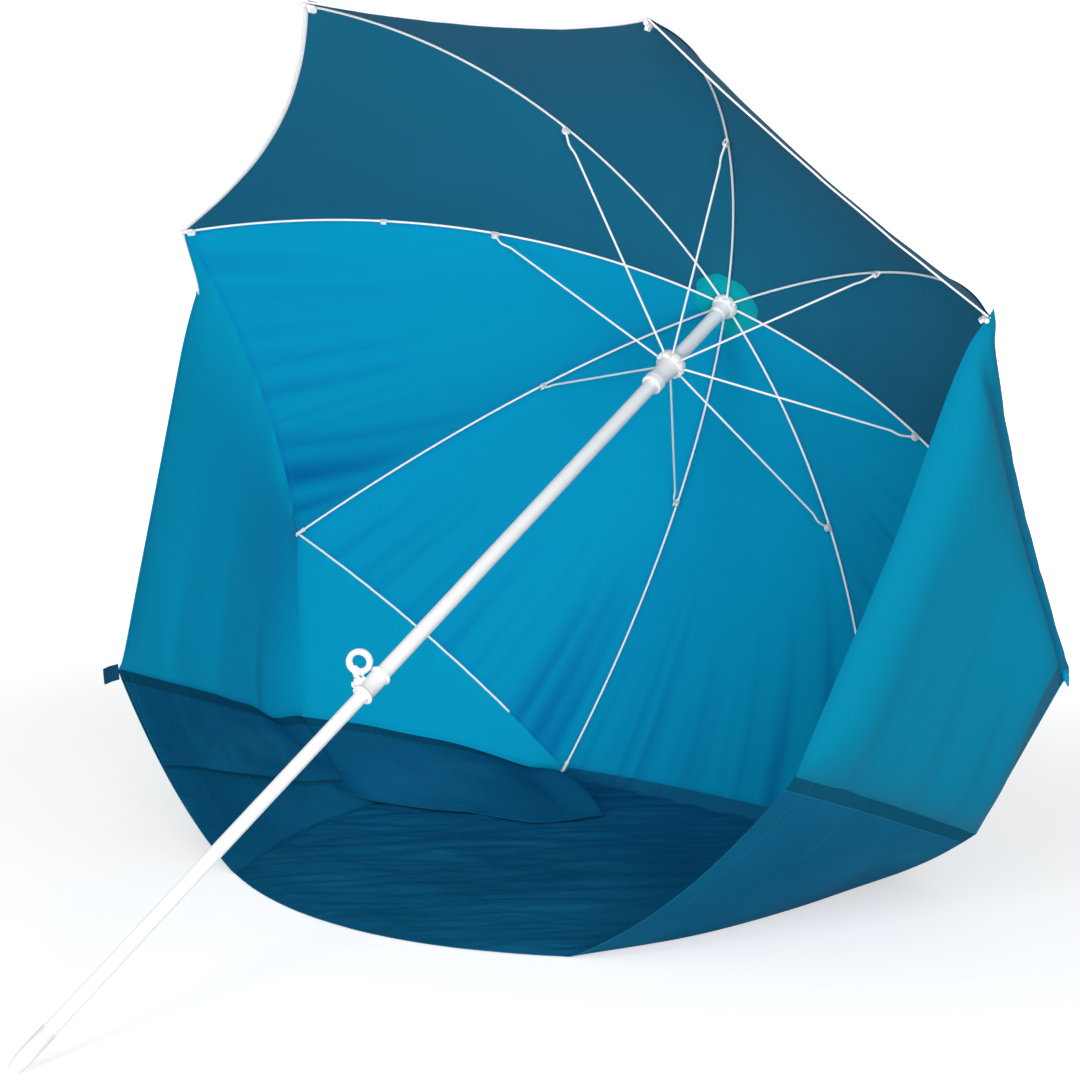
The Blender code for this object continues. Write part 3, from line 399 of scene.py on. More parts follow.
@dataclass(frozen=True)
class CoatedSheetFinish:
    """Thin coated sheet that keeps its packing creases, with painted highlights on the crease ridges and
    painted shade in its folds.
    """

    slot: str
    colour: Colour
    deep: Colour
    # crest: the painted highlight colour of the crease ridges.
    crest: Colour
    hem: Colour
    thread: Colour
    roughness: float = 0.7
    specular: float = 0.02
    crease_scale: float = 9.0
    crease_depth: float = 0.006
    line_depth: float = 0.0006
    stitch_offset: float = 0.024
    hem_end: tuple[float, float] = (0.0235, 0.0245)

    def make(self, effects: Effects) -> Material:
        """Build the material.

        Args:
            effects: the shared node groups.

        Returns:
            The material.
        """
        finish, graph, shader = start_material(self.slot)
        place, edge, run, fold = graph.cloth_marks()
        along = graph.scale(place, (0.3, 1.0, 1.0))
        crumple = graph.use(effects.crumple, Vector=along, Scale=self.crease_scale)
        packing = graph.use(effects.packing, Vector=place)["Line"]
        mottle = graph.use(effects.mottle, Vector=place, Scale=3.0)["Factor"]
        stitches = graph.use(effects.stitches, Edge=edge, Run=run, Offset=self.stitch_offset)
        colour = graph.blend(mottle, self.colour, self.deep)
        # Painted highlight: crease ridges are lightened towards the crest colour.
        colour = graph.blend(graph.math("MULTIPLY", crumple["Ridge"], 0.6), colour, self.crest)
        hem = graph.math("SUBTRACT", 1.0, graph.band(edge, *self.hem_end))
        colour = graph.blend(graph.math("MULTIPLY", hem, 0.65), colour, self.hem)
        # Painted shade: folds are darkened towards the deep colour, which also serves the random tone.
        colour = graph.blend(graph.math("MULTIPLY", fold, 1.0, clamp=True), colour, self.deep)
        lines = graph.math("MAXIMUM", stitches["Thread"], graph.math("MULTIPLY", packing, 0.25))
        colour = graph.blend(graph.math("MULTIPLY", lines, 0.55), colour, self.thread)
        graph.put(shader.inputs["Base Color"], colour)
        rough = graph.math("ADD", graph.math("MULTIPLY", mottle, 0.12), self.roughness)
        graph.put(shader.inputs["Roughness"], rough)
        shader.inputs["Specular IOR Level"].default_value = self.specular
        folds = graph.math("MULTIPLY", crumple["Height"], self.crease_depth)
        sharp = graph.math("MULTIPLY", packing, self.line_depth)
        dent = graph.math("MULTIPLY", stitches["Pucker"], -self.line_depth)
        height = graph.math("ADD", graph.math("ADD", folds, dent), sharp)
        bump = graph.add("ShaderNodeBump", Strength=0.8, Distance=1.0, Height=height)
        graph.put(shader.inputs["Normal"], bump.outputs[0])
        return finish


@dataclass(frozen=True)
class HardFinish:
    """Moulded plastic, powder coat or bare steel with light handling marks."""

    slot: str
    colour: Colour
    worn: Colour
    roughness: float
    metallic: float = 0.0
    coat: float = 0.0
    grain: float = 0.00002
    scale: float = 60.0

    def make(self, effects: Effects) -> Material:
        """Build the material.

        Args:
            effects: the shared node groups.

        Returns:
            The material.
        """
        finish, graph, shader = start_material(self.slot)
        marks = graph.use(effects.handling, Scale=self.scale)
        dust = graph.math("MULTIPLY", marks["Dust"], 0.5)
        graph.put(shader.inputs["Base Color"], graph.blend(dust, self.colour, self.worn))
        rough = graph.math("ADD", graph.math("MULTIPLY", marks["Scuff"], 0.16), self.roughness)
        graph.put(shader.inputs["Roughness"], rough)
        shader.inputs["Metallic"].default_value = self.metallic
        shader.inputs["Coat Weight"].default_value = self.coat
        height = graph.math("MULTIPLY", marks["Scuff"], self.grain)
        bump = graph.add("ShaderNodeBump", Strength=0.6, Distance=1.0, Height=height)
        graph.put(shader.inputs["Normal"], bump.outputs[0])
        return finish


FINISHES = (
    ClothFinish(
        "dark_cloth", (0.008, 0.128, 0.225), (0.006, 0.118, 0.21), (0.004, 0.085, 0.17), (0.02, 0.17, 0.27)
    ),
    ClothFinish("bright_cloth", (0, 0.27, 0.47), (0, 0.245, 0.435), (0, 0.12, 0.33), (0, 0.33, 0.53)),
    ClothFinish("wall_cloth", (0, 0.3, 0.5), (0, 0.28, 0.44), (0, 0.175, 0.33), (0, 0.35, 0.53)),
    # A darker copy of wall_cloth for the right front wall: painted shade, the same cloth drawn as if less
    # lit.
    ClothFinish("front_wall_cloth", (0, 0.18, 0.31), (0, 0.168, 0.272), (0, 0.105, 0.215), (0, 0.22, 0.34)),
    ClothFinish("patch_cloth", (0, 0.36, 0.42), (0, 0.3, 0.34), (0, 0.24, 0.3), (0, 0.45, 0.48)),
    ClothFinish(
        "navy_webbing",
        (0.004, 0.045, 0.1), (0.002, 0.03, 0.07), (0.002, 0.02, 0.05), (0.01, 0.07, 0.13),
        pitch=0.0022,
    ),
    ClothFinish(
        "white_binding",
        (0.84, 0.83, 0.82), (0.77, 0.76, 0.75), (0.6, 0.6, 0.6), (0.88, 0.88, 0.87),
        mottle_scale=9.0,
    ),
    CoatedSheetFinish(
        "navy_sheet",
        (0.006, 0.118, 0.232), (0.003, 0.088, 0.182), (0.02, 0.2, 0.315), (0.003, 0.06, 0.1),
        (0.025, 0.23, 0.36),
    ),
    HardFinish("white_coat", (0.87, 0.87, 0.865), (0.84, 0.84, 0.83), 0.4, coat=0.1),
    HardFinish("white_plastic", (0.8, 0.795, 0.79), (0.77, 0.765, 0.76), 0.46),
    HardFinish("pin_steel", (0.62, 0.62, 0.63), (0.5, 0.5, 0.5), 0.28, metallic=1.0, scale=200.0),
)


class Wardrobe:
    """Every finished material by its name."""

    def __init__(self) -> None:
        """Make the shared groups and all the materials."""
        effects = Effects()
        self.materials = {finish.slot: finish.make(effects) for finish in FINISHES}

    def dress(self, piece: Piece, name: str) -> Piece:
        """Give a piece one finish.

        Args:
            piece: an object with a mesh or a curve.
            name: the finish's name.

        Returns:
            The same piece.
        """
        piece.data.materials.clear()
        piece.data.materials.append(self.materials[name])
        return piece

    def fit(
        self, piece: Piece, finish: str, body: str, node: str | None = None
    ) -> Piece:
        """Dress a piece and let it ride on a body, in the place of a node where one is named.

        Args:
            piece: an object with a mesh.
            finish: the finish's name.
            body: the body that carries it.
            node: the node that it stands for.

        Returns:
            The same piece.
        """
        self.dress(piece, finish)
        if node:
            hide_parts(node)
        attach(piece, body)
        return piece


# --- Mesh makers --------------------------------------------------------------------------------


def put_in_scene(name: str, data: bpy.types.ID) -> Piece:
    """Make an object of a mesh or curve and link it to the scene."""
    piece = bpy.data.objects.new(name, data)
    bpy.context.scene.collection.objects.link(piece)
    return piece


@dataclass(frozen=True)
class SheetGrid:
    """A sheet's points in rows and columns, with its cloth map and its marks."""

    places: np.ndarray
    middle: np.ndarray
    down: np.ndarray
    edge: np.ndarray
    run: np.ndarray
    fold: np.ndarray

    @classmethod
    def measure(
        cls,
        point: SurfacePoint,
        columns: int,
        rows: int,
        hems: Sequence[Edge] = (),
        fold: Callable[[float, float], float] | None = None,
    ) -> "SheetGrid":
        """Measure a sheet over its own surface.

        Args:
            point: the sheet's inner face at (u, v), each from 0 to 1.
            columns: steps along u.
            rows: steps along v.
            hems: the edges that carry a stitched hem.
            fold: how much shade is painted at (u, v), from 0 to 1, most in a fold.

        Returns:
            The measured grid.
        """
        across_shares = [column / columns for column in range(columns + 1)]
        shares = [(u, row / rows) for row in range(rows + 1) for u in across_shares]
        size = (rows + 1, columns + 1)
        places = np.array([point(u, v) for u, v in shares], float).reshape(*size, 3)
        across, down = np.zeros(size), np.zeros(size)
        across[:, 1:] = np.cumsum(np.linalg.norm(np.diff(places, axis=1), axis=2), axis=1)
        down[1:] = np.cumsum(np.linalg.norm(np.diff(places, axis=0), axis=2), axis=0)
        away = {
            Edge.START: (across, down),
            Edge.END: (across[:, -1:] - across, down),
            Edge.TOP: (down, across),
            Edge.BOTTOM: (down[-1:] - down, across),
        }
        edge, run = np.full(size, NO_HEM), np.zeros(size)
        for hem in hems:
            distance, along = away[hem]
            nearer = distance < edge
            edge[nearer] = distance[nearer]
            run[nearer] = along[nearer]
        depth = np.array([fold(u, v) if fold else 0.0 for u, v in shares]).reshape(size)
        return cls(places, across - across[:, -1:] / 2, down, edge, run, depth)

    def part(self, first: int, last: int) -> "SheetGrid":
        """The columns from first to last, both kept."""
        keep = slice(first, last + 1)
        fields = (self.places, self.middle, self.down, self.edge, self.run, self.fold)
        return SheetGrid(*(values[:, keep] for values in fields))

    def faces(self, inside: Vector) -> np.ndarray:
        """Corner numbers of every face, turned to look away from a point."""
        rows, columns = self.middle.shape
        index = np.arange(rows * columns).reshape(rows, columns)
        corners = [index[:-1, :-1], index[:-1, 1:], index[1:, 1:], index[1:, :-1]]
        faces = np.stack([corner.ravel() for corner in corners], axis=1)
        flat = self.places.reshape(-1, 3)
        a, b, c = (flat[faces[:, k]] for k in (0, 1, 3))
        out = np.einsum("ij,ij->i", np.cross(b - a, c - a), a - np.array(inside)).sum()
        return faces if out > 0 else faces[:, ::-1]

    def piece(self, name: str, inside: Vector) -> Piece:
        """Make the sheet's mesh, its border edges sharp so that cut halves shade as one.

        Args:
            name: the piece's name.
            inside: a point that the faces look away from.

        Returns:
            The piece.
        """
        mesh = bpy.data.meshes.new(name)
        mesh.from_pydata(self.places.reshape(-1, 3).tolist(), [], self.faces(inside).tolist())
        layer = mesh.uv_layers.new(name=CLOTH_MAP)
        cloth_map = np.stack([self.middle.ravel(), self.down.ravel()], axis=1).astype(np.float32)
        loops = np.zeros(len(mesh.loops), np.int32)
        mesh.loops.foreach_get("vertex_index", loops)
        layer.data.foreach_set("uv", cloth_map[loops].ravel())
        for label, values in zip(SHEET_MARKS, (self.edge, self.run, self.fold)):
            attribute = mesh.attributes.new(label, "FLOAT", "POINT")
            attribute.data.foreach_set("value", values.astype(np.float32).ravel())
        mesh.shade_smooth()
        rows, columns = self.middle.shape
        ends = np.zeros(len(mesh.edges) * 2, np.int32)
        mesh.edges.foreach_get("vertices", ends)
        row, column = np.divmod(ends.reshape(-1, 2), columns)
        sides = (row == 0, row == rows - 1, column == 0, column == columns - 1)
        border = np.any([both.all(1) for both in sides], axis=0)
        sharp = mesh.attributes.new("sharp_edge", "BOOLEAN", "EDGE")
        sharp.data.foreach_set("value", border)
        return put_in_scene(name, mesh)


def thicken(piece: Piece, thickness: float) -> Piece:
    """Give a sheet its thickness away from the tent's inside."""
    step = piece.modifiers.new("thickness", "SOLIDIFY")
    step.thickness = thickness
    step.offset = 1.0
    step.use_even_offset = False
    return piece


def declare_sheet(piece: Piece, slack: float = 1.0) -> None:
    """Work out a sheet's cut size, measured over its own surface; nothing is kept of it.

    Args:
        piece: the sheet.
        slack: share of the measured area that was cut.
    """
    uv = np.zeros(len(piece.data.loops) * 2, np.float32)
    piece.data.uv_layers[CLOTH_MAP].data.foreach_get("uv", uv)
    spans = np.ptp(uv.reshape(-1, 2), axis=0)
    area = sum(face.area for face in piece.data.polygons) * slack
    if area < LEAST_BOX_SHARE * spans[0] * spans[1]:
        points = np.array([vertex.co for vertex in piece.data.vertices])
        centred = points - points.mean(axis=0)
        axes = np.linalg.svd(centred, full_matrices=False)[2]
        spans = np.ptp(centred @ axes[:2].T, axis=0)


def sharpen(value: float, power: float) -> float:
    """A power that keeps the value's sign, for the outlines of flattened rounds."""
    return math.copysign(abs(value) ** power, value)


def bridge(shape: bmesh.types.BMesh, first: Sequence, second: Sequence) -> list[bmesh.types.BMFace]:
    """Join two rings of the same count with a row of faces."""
    turned, after = [*first[1:], first[0]], [*second[1:], second[0]]
    return [shape.faces.new(corners) for corners in zip(first, turned, after, second)]


def ribbon_mesh(
    name: str,
    centres: Sequence[Vector],
    widths: Sequence[Vector],
    normals: Sequence[Vector],
    size: tuple[float, float],
) -> Piece:
    """A flat band with rounded edges that follows a line.

    Args:
        name: the piece's name.
        centres: the middle of each cross section.
        widths: the direction across the band at each.
        normals: the direction through the band at each.
        size: width and thickness.

    Returns:
        The piece.
    """
    half_width, half_thick = size[0] / 2, size[1] / 2
    turns = [math.tau * step / RIBBON_SIDES for step in range(RIBBON_SIDES)]
    profile = [(sharpen(math.cos(turn), 0.35), sharpen(math.sin(turn), 0.7)) for turn in turns]
    shape = bmesh.new()
    layer = shape.loops.layers.uv.new(CLOTH_MAP)
    rings = []
    length = 0.0
    lengths = []
    for index, (centre, across, normal) in enumerate(zip(centres, widths, normals)):
        if index:
            length += (centre - centres[index - 1]).length
        lengths.append(length)
        side, top = across.normalized() * half_width, normal.normalized() * half_thick
        rings.append([shape.verts.new(centre + side * x + top * y) for x, y in profile])
    for index, (first, second) in enumerate(zip(rings, rings[1:])):
        for step, face in enumerate(bridge(shape, first, second)):
            for loop, row in zip(face.loops, (index, index, index + 1, index + 1)):
                loop[layer].uv = (profile[step][0] * half_width, lengths[row])
    shape.faces.new(rings[0][::-1])
    shape.faces.new(rings[-1])
    return close_mesh(name, shape)


def close_mesh(name: str, shape: bmesh.types.BMesh) -> Piece:
    """Turn a bmesh into a smooth shaded piece with outward faces.

    Args:
        name: the piece's name.
        shape: the bmesh, which is freed.

    Returns:
        The piece.
    """
    bmesh.ops.recalc_face_normals(shape, faces=shape.faces)
    mesh = bpy.data.meshes.new(name)
    shape.to_mesh(mesh)
    shape.free()
    for label, value in zip(SHEET_MARKS, (NO_HEM, 0.0, 0.0)):
        attribute = mesh.attributes.new(label, "FLOAT", "POINT")
        attribute.data.foreach_set("value", np.full(len(mesh.vertices), value, np.float32))
    mesh.shade_smooth()
    mesh.set_sharp_from_angle(angle=SMOOTH_ANGLE)
    return put_in_scene(name, mesh)


def turned_mesh(
    name: str,
    outline: Outline,
    matrix: Matrix,
    sides: int = 64,
    shape_radius: Callable[[float, float, float], float] | None = None,
) -> Piece:
    """A form turned about Z from (radius, height) points.

    Args:
        name: the piece's name.
        outline: the profile from one end to the other; a radius of 0 closes it.
        matrix: where the form goes.
        sides: facets round it.
        shape_radius: gives the radius for (radius, height, turn), to cut notches.

    Returns:
        The piece.
    """
    shape = bmesh.new()
    rings: list[list[bmesh.types.BMVert]] = []
    for radius, height in outline:
        if radius < 1e-7:
            rings.append([shape.verts.new(matrix @ Vector((0, 0, height)))])
            continue
        ring = []
        for step in range(sides):
            turn = math.tau * step / sides
            reach = shape_radius(radius, height, turn) if shape_radius else radius
            place = Vector((reach * math.cos(turn), reach * math.sin(turn), height))
            ring.append(shape.verts.new(matrix @ place))
        rings.append(ring)
    for first, second in zip(rings, rings[1:]):
        for step in range(sides):
            after = (step + 1) % sides
            corners = [first[step % len(first)], first[after % len(first)], second[after % len(second)]]
            corners.append(second[step % len(second)])
            unique = list(dict.fromkeys(corners))
            if len(unique) > 2:
                shape.faces.new(unique)
    return close_mesh(name, shape)


def tube_mesh(name: str, points: Sequence[Vector], radius: float, sides: int = 14) -> Piece:
    """A round wire along points, with domed ends.

    Args:
        name: the piece's name.
        points: the wire's centre line.
        radius: the wire's radius.
        sides: facets round it.

    Returns:
        The piece.
    """
    shape = bmesh.new()
    tangents = []
    for index in range(len(points)):
        before, after = points[max(index - 1, 0)], points[min(index + 1, len(points) - 1)]
        tangents.append((after - before).normalized())
    side = tangents[0].orthogonal().normalized()
    rings = []
    for index, (point, tangent) in enumerate(zip(points, tangents)):
        side = (side - tangent * side.dot(tangent)).normalized()
        up = tangent.cross(side)
        steps = [(0.0, 1.0)]
        if index == 0:
            steps = [(-0.9, 0.45), (-0.55, 0.85), (0.0, 1.0)]
        elif index == len(points) - 1:
            steps = [(0.0, 1.0), (0.55, 0.85), (0.9, 0.45)]
        for shift, share in steps:
            ring = []
            for step in range(sides):
                turn = math.tau * step / sides
                offset = (side * math.cos(turn) + up * math.sin(turn)) * radius * share
                ring.append(shape.verts.new(point + tangent * radius * shift + offset))
            rings.append(ring)
    for first, second in zip(rings, rings[1:]):
        bridge(shape, first, second)
    shape.faces.new(rings[0][::-1])
    shape.faces.new(rings[-1])
    return close_mesh(name, shape)


def plate_mesh(
    name: str, outline: Outline, thickness: float, matrix: Matrix
) -> Piece:
    """A flat plate from an outline in XZ, centred on Y = 0, placed by a matrix."""
    shape = bmesh.new()
    base = shape.faces.new([shape.verts.new((x, -thickness / 2, z)) for x, z in outline])
    grown = bmesh.ops.extrude_face_region(shape, geom=[base])
    moved = [item for item in grown["geom"] if isinstance(item, bmesh.types.BMVert)]
    bmesh.ops.translate(shape, verts=moved, vec=(0, thickness, 0))
    bmesh.ops.transform(shape, matrix=matrix, verts=shape.verts)
    return close_mesh(name, shape)


def soften(piece: Piece, width: float, segments: int = 3) -> Piece:
    """Round a hard piece's sharp edges."""
    step = piece.modifiers.new("rounded_edges", "BEVEL")
    step.width = width
    step.segments = segments
    step.limit_method = "ANGLE"
    step.angle_limit = SMOOTH_ANGLE
    step.harden_normals = True
    return piece


def smooth_line(points: Sequence[Sequence[float]], share: float) -> Vector:
    """A point on a smooth curve through points.

    Args:
        points: the points that the curve passes.
        share: how far along, from 0 to 1.

    Returns:
        The point.
    """
    last = len(points) - 1
    place_on = min(max(share, 0) * last, last)
    index = min(int(place_on), last - 1)
    t = place_on - index
    p1, p2 = Vector(points[index]), Vector(points[index + 1])
    p0 = Vector(points[index - 1]) if index > 0 else 2 * p1 - p2
    p3 = Vector(points[index + 2]) if index + 2 <= last else 2 * p2 - p1
    square, cube = 2 * p0 - 5 * p1 + 4 * p2 - p3, 3 * p1 - p0 - 3 * p2 + p3
    return (2 * p1 + (p2 - p0) * t + square * t**2 + cube * t**3) / 2


def mound(value: float, centre: float, spread: float) -> float:
    """A smooth bump of height 1 round a centre."""
    return math.exp(-(((value - centre) / spread) ** 2))


def ease(value: float, low: float, high: float) -> float:
    """A smooth step from 0 to 1 between two values."""
    t = min(max((value - low) / (high - low), 0.0), 1.0)
    return t * t * (3 - 2 * t)


# --- The tent's shape ---------------------------------------------------------------------------


@dataclass(frozen=True)
class Ribwork:
    """Sizes of the ribs round the pole, and the dome that they carry."""

    count: int = 8
    rim_radius: float = 0.792
    rim_height: float = 1.408
    crown_rise: float = 0.378
    pivot_radius: float = 0.0225
    wire_radius: float = 0.0022
    strut_radius: float = 0.0020
    hole_radius: float = 0.0098
    rows: int = 14
    row_growth: float = 1.34
    joint_row: int = 7
    bracket_drop: float = 0.0065
    cloth: float = 0.0012
    clearance: float = 0.0003
    sag: float = 0.012
    hub_swell: float = 0.0030
    hub_swell_radius: float = 0.060
    tip_swell: float = 0.0022
    tip_swell_length: float = 0.030
    cap_radius: float = 0.0036
    cap_overhang: float = 0.006
    ground_gap: float = 0.001
    spike_length: float = 0.085
    spike_radius: float = 0.0115
    spike_point: float = 0.002
    floor_rear_share: float = 0.010
    centre_drop: float = field(init=False, default=0.0)
    dome_radius: float = field(init=False, default=0.0)
    pole: Matrix = field(init=False, default=None)
    shift: Vector = field(init=False, default=None)

    def __post_init__(self) -> None:
        """Work out the dome's centre and the leaning pole's frame."""
        drop = (self.pivot_radius**2 + self.crown_rise**2 - self.rim_radius**2) / (2 * self.crown_rise)
        object.__setattr__(self, "centre_drop", drop)
        object.__setattr__(self, "dome_radius", math.hypot(self.rim_radius, drop))
        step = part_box("floor_sheet")[1].y + self.floor_rear_share * self.rim_radius
        object.__setattr__(self, "shift", Vector((0, step, 0)))
        object.__setattr__(self, "pole", Matrix.Translation((0, step, 0)) @ self.lean_matrix())

    @property
    def sector(self) -> float:
        """The angle between two ribs."""
        return math.tau / self.count

    @property
    def rim_angle(self) -> float:
        """The rim's angle from the pole, at the dome's centre."""
        return math.asin(self.rim_radius / self.dome_radius)

    @property
    def hole_angle(self) -> float:
        """The angle of the canopy's hole from the pole."""
        return math.asin(self.hole_radius / self.dome_radius)

    @property
    def pivot_height(self) -> float:
        """The height of the ribs' pivots along the pole."""
        return self.rim_height + self.crown_rise

    def row_angle(self, row: float) -> float:
        """The angle of one of the ribs' bends."""
        return self.hole_angle + (self.rim_angle - self.hole_angle) * (row / self.rows) ** self.row_growth

    def arc_point(self, angle: float) -> Vector:
        """A point of a rib in its own frame: X outward, Z along the pole, origin on its pivot."""
        height = self.centre_drop + self.dome_radius * math.cos(angle) - self.crown_rise
        return Vector((self.dome_radius * math.sin(angle) - self.pivot_radius, 0, height))

    def tip_direction(self) -> Vector:
        """The way a rib's last stretch points, in the rib's own frame."""
        return (self.arc_point(self.rim_angle) - self.arc_point(self.row_angle(self.rows - 1))).normalized()

    def joint_frame(self) -> Matrix:
        """The middle of the rib's stretch that carries its bracket, X along the wire."""
        before = self.arc_point(self.row_angle(self.joint_row))
        after = self.arc_point(self.row_angle(self.joint_row + 1))
        along = after - before
        turn = Matrix.Rotation(math.atan2(-along.z, along.x), 4, "Y")
        return Matrix.Translation((before + after) / 2) @ turn

    def rib_joint(self) -> tuple[float, float]:
        """The strut's pivot on the rib, as (radius, height) round the pole."""
        point = self.joint_frame() @ Vector((0, 0, -self.bracket_drop))
        return self.pivot_radius + point.x, self.pivot_height + point.z

    def runner_height(self) -> float:
        """The height of the runner's pivots along the pole."""
        return 2 * self.rib_joint()[1] - self.pivot_height

    def azimuth(self, number: float) -> float:
        """The direction of a rib round the pole."""
        return (number - (self.count + 3) / 2) * self.sector + math.pi / 2

    def spike_flank(self) -> list[tuple[float, float]]:
        """The spike's outer profile as (radius, height) points from its upper end to its point."""
        return [
            (self.spike_radius, self.spike_length), (self.spike_radius, self.spike_length * 0.45),
            (self.spike_radius * 0.9, self.spike_length * 0.28),
            (self.spike_radius * 0.62, self.spike_length * 0.1), (self.spike_point, self.spike_point),
            (0, self.spike_point / 2),
        ]

    def lean_matrix(self) -> Matrix:
        """From the pole's own frame, spike at the origin, to the leaning tent's frame."""
        end = self.arc_point(self.rim_angle) + self.tip_direction() * self.cap_overhang
        down = (self.pivot_radius + end.x) * math.cos(self.sector / 2)
        up = self.pivot_height + end.z
        slope = math.atan2(down, up)
        flank = self.spike_flank()
        rise = max(radius * math.cos(slope) - height * math.sin(slope) for radius, height in flank)
        angle = slope + math.asin((self.cap_radius + self.ground_gap - rise) / math.hypot(down, up))
        lean = Matrix.Rotation(angle - math.pi / 2, 4, "X")
        tips = lean @ Vector((0, self.rim_radius * math.cos(self.sector / 2), self.rim_height))
        return Matrix.Translation((0, -tips.y, rise)) @ lean

    def rib_frame(self, number: int) -> Matrix:
        """A rib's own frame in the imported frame."""
        turn = Matrix.Rotation(self.azimuth(number), 4, "Z")
        return self.pole @ turn @ Matrix.Translation((self.pivot_radius, 0, self.pivot_height))

    def dome_point(self, angle: float, azimuth: float, lift: float) -> Vector:
        """A point over the ribs' arc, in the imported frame."""
        reach = self.dome_radius + lift
        radius = reach * math.sin(angle)
        height = self.rim_height + self.centre_drop + reach * math.cos(angle)
        return self.pole @ Vector((radius * math.cos(azimuth), radius * math.sin(azimuth), height))

    def dome_normal(self, angle: float, azimuth: float) -> Vector:
        """The direction away from the canopy's inside."""
        return self.dome_point(angle, azimuth, 1) - self.dome_point(angle, azimuth, 0)

    def lift(self, angle: float) -> float:
        """The canopy's inner face over the ribs' centre line."""
        slope = self.sector / 2 + math.atan(2 * self.sag / (self.rim_radius * math.sin(self.sector / 2)))
        near_tip = max(0.0, 1 - (self.rim_angle - angle) * self.dome_radius / self.tip_swell_length)
        swell = self.hub_swell * math.exp(-((self.dome_radius * angle / self.hub_swell_radius) ** 2))
        return (self.wire_radius + self.clearance) / math.cos(slope) + swell + self.tip_swell * near_tip

    def canopy_point(self, number: int, u: float, angle: float, drop: float = 0.0) -> Vector:
        """A point under a gore's inner face.

        Args:
            number: the gore, which lies between the ribs of this number and the next.
            u: from its first rib to its second.
            angle: from the pole.
            drop: how far below the inner face.

        Returns:
            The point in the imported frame.
        """
        bow = 4 * u * (1 - u)
        lift = self.lift(angle) - drop
        first = self.dome_point(angle, self.azimuth(number), lift)
        second = self.dome_point(angle, self.azimuth(number + 1), lift)
        width = (second - first).length
        rim_width = 2 * self.rim_radius * math.sin(self.sector / 2)
        sag = self.dome_normal(angle, self.azimuth(number + 0.5)) * self.sag * bow * width / rim_width
        return first.lerp(second, u) - sag

    def middle(self) -> Vector:
        """A point well inside the tent."""
        return self.pole @ Vector((0, 0, self.rim_height))


@dataclass(frozen=True)
class Streak:
    """One soft fold of cloth that fades away from a rim."""

    across: float
    width: float
    depth: float
    start: float
    lean: float

    def share(self, u: float, v: float) -> float:
        """How deep in the fold (u, v) lies, from 0 to 1."""
        away = (u - self.across - self.lean * (1 - v)) / self.width
        steep = 1.9 if away < 0 else 1.0
        return math.exp(-((away * steep) ** 2)) * ease(v, self.start, 1.0)

    def height(self, u: float, v: float) -> float:
        """How far the cloth stands out at (u, v), negative inside the fold."""
        away = (u - self.across - self.lean * (1 - v)) / self.width
        crest = math.exp(-((away - 2.0) ** 2)) * ease(v, self.start, 1.0)
        return self.depth * (0.6 * crest - self.share(u, v))


@dataclass(frozen=True)
class Pleats:
    """A seeded group of folds, spread between two places across a sheet, with the shade painted into them.
    """

    seed: int
    count: int
    low: float
    high: float
    width: float
    depth: float
    start: float
    lean: float = 0.0
    shade: float = 0.5

    def streaks(self) -> list[Streak]:
        """The folds, the same on every run."""
        dice = random.Random(self.seed)
        folds = []
        for step in range(self.count):
            across = self.low + (self.high - self.low) * (step + dice.uniform(0.15, 0.85)) / self.count
            width = self.width * dice.uniform(0.5, 1.5)
            depth = self.depth * dice.uniform(0.35, 1.0)
            start = min(self.start + dice.uniform(-0.12, 0.16), 0.9)
            folds.append(Streak(across, width, depth, start, self.lean * dice.uniform(0.6, 1.4)))
        return folds


class Folds:
    """Every fold of one sheet."""

    def __init__(self, groups: Sequence[Pleats]) -> None:
        """Collect the folds of all the groups."""
        self.groups = [(group, group.streaks()) for group in groups]

    def height(self, u: float, v: float) -> float:
        """How far the cloth stands out at (u, v)."""
        return sum(streak.height(u, v) for _, streaks in self.groups for streak in streaks)

    def shade(self, u: float, v: float) -> float:
        """How much shade is painted into the folds at (u, v), from 0 to 1."""
        total = 0.0
        for group, streaks in self.groups:
            for streak in streaks:
                total += group.shade * streak.share(u, v) * streak.depth / group.depth
        return min(total, 1.0)


# The last number of each group is the shade painted into its folds.
GORE_FOLDS = {
    1: (Pleats(15, 3, 0.1, 0.9, 0.07, 0.0007, 0.6, 0.0, 0.12),),
    2: (Pleats(16, 3, 0.1, 0.9, 0.07, 0.0007, 0.6, 0.0, 0.12),),
    3: (Pleats(13, 5, 0.2, 0.9, 0.04, 0.0014, 0.6, 0.0, 0.2),),
    4: (Pleats(11, 9, -0.15, 0.62, 0.030, 0.0030, 0.3, 1.0, 0.9),),
    5: (
        Pleats(9, 12, 0.3, 0.95, 0.018, 0.0034, 0.55, 0.0, 0.4),
        Pleats(10, 2, 0.1, 0.34, 0.028, 0.005, 0.5, -0.1, 1.6),
    ),
    6: (
        Pleats(7, 9, 0.2, 0.92, 0.020, 0.0030, 0.58, -0.02, 0.35),
        Pleats(8, 3, 0.04, 0.22, 0.026, 0.004, 0.42, 0.0, 1.6),
    ),
    7: (
        Pleats(3, 12, 0.3, 0.95, 0.022, 0.0012, 0.5, -0.25, 0.3),
        Pleats(4, 3, 0.05, 0.34, 0.04, 0.003, 0.5, -0.8, 1.15),
    ),
    8: (Pleats(14, 4, 0.1, 0.7, 0.06, 0.0006, 0.6, 0.0, 0.15),),
}
WALL_FOLDS = {
    Side.LEFT: (
        Pleats(21, 2, 0.25, 0.6, 0.06, 0.002, 0.25, 0.03, 0.06),
        Pleats(22, 1, 0.72, 0.76, 0.036, 0.006, 0.3, 0.02, 0.5),
    ),
    Side.RIGHT: (Pleats(23, 4, 0.1, 0.9, 0.06, 0.004, 0.2, -0.08, 0.22),),
}
DARK_GORES = (1, 2, 3, 8)


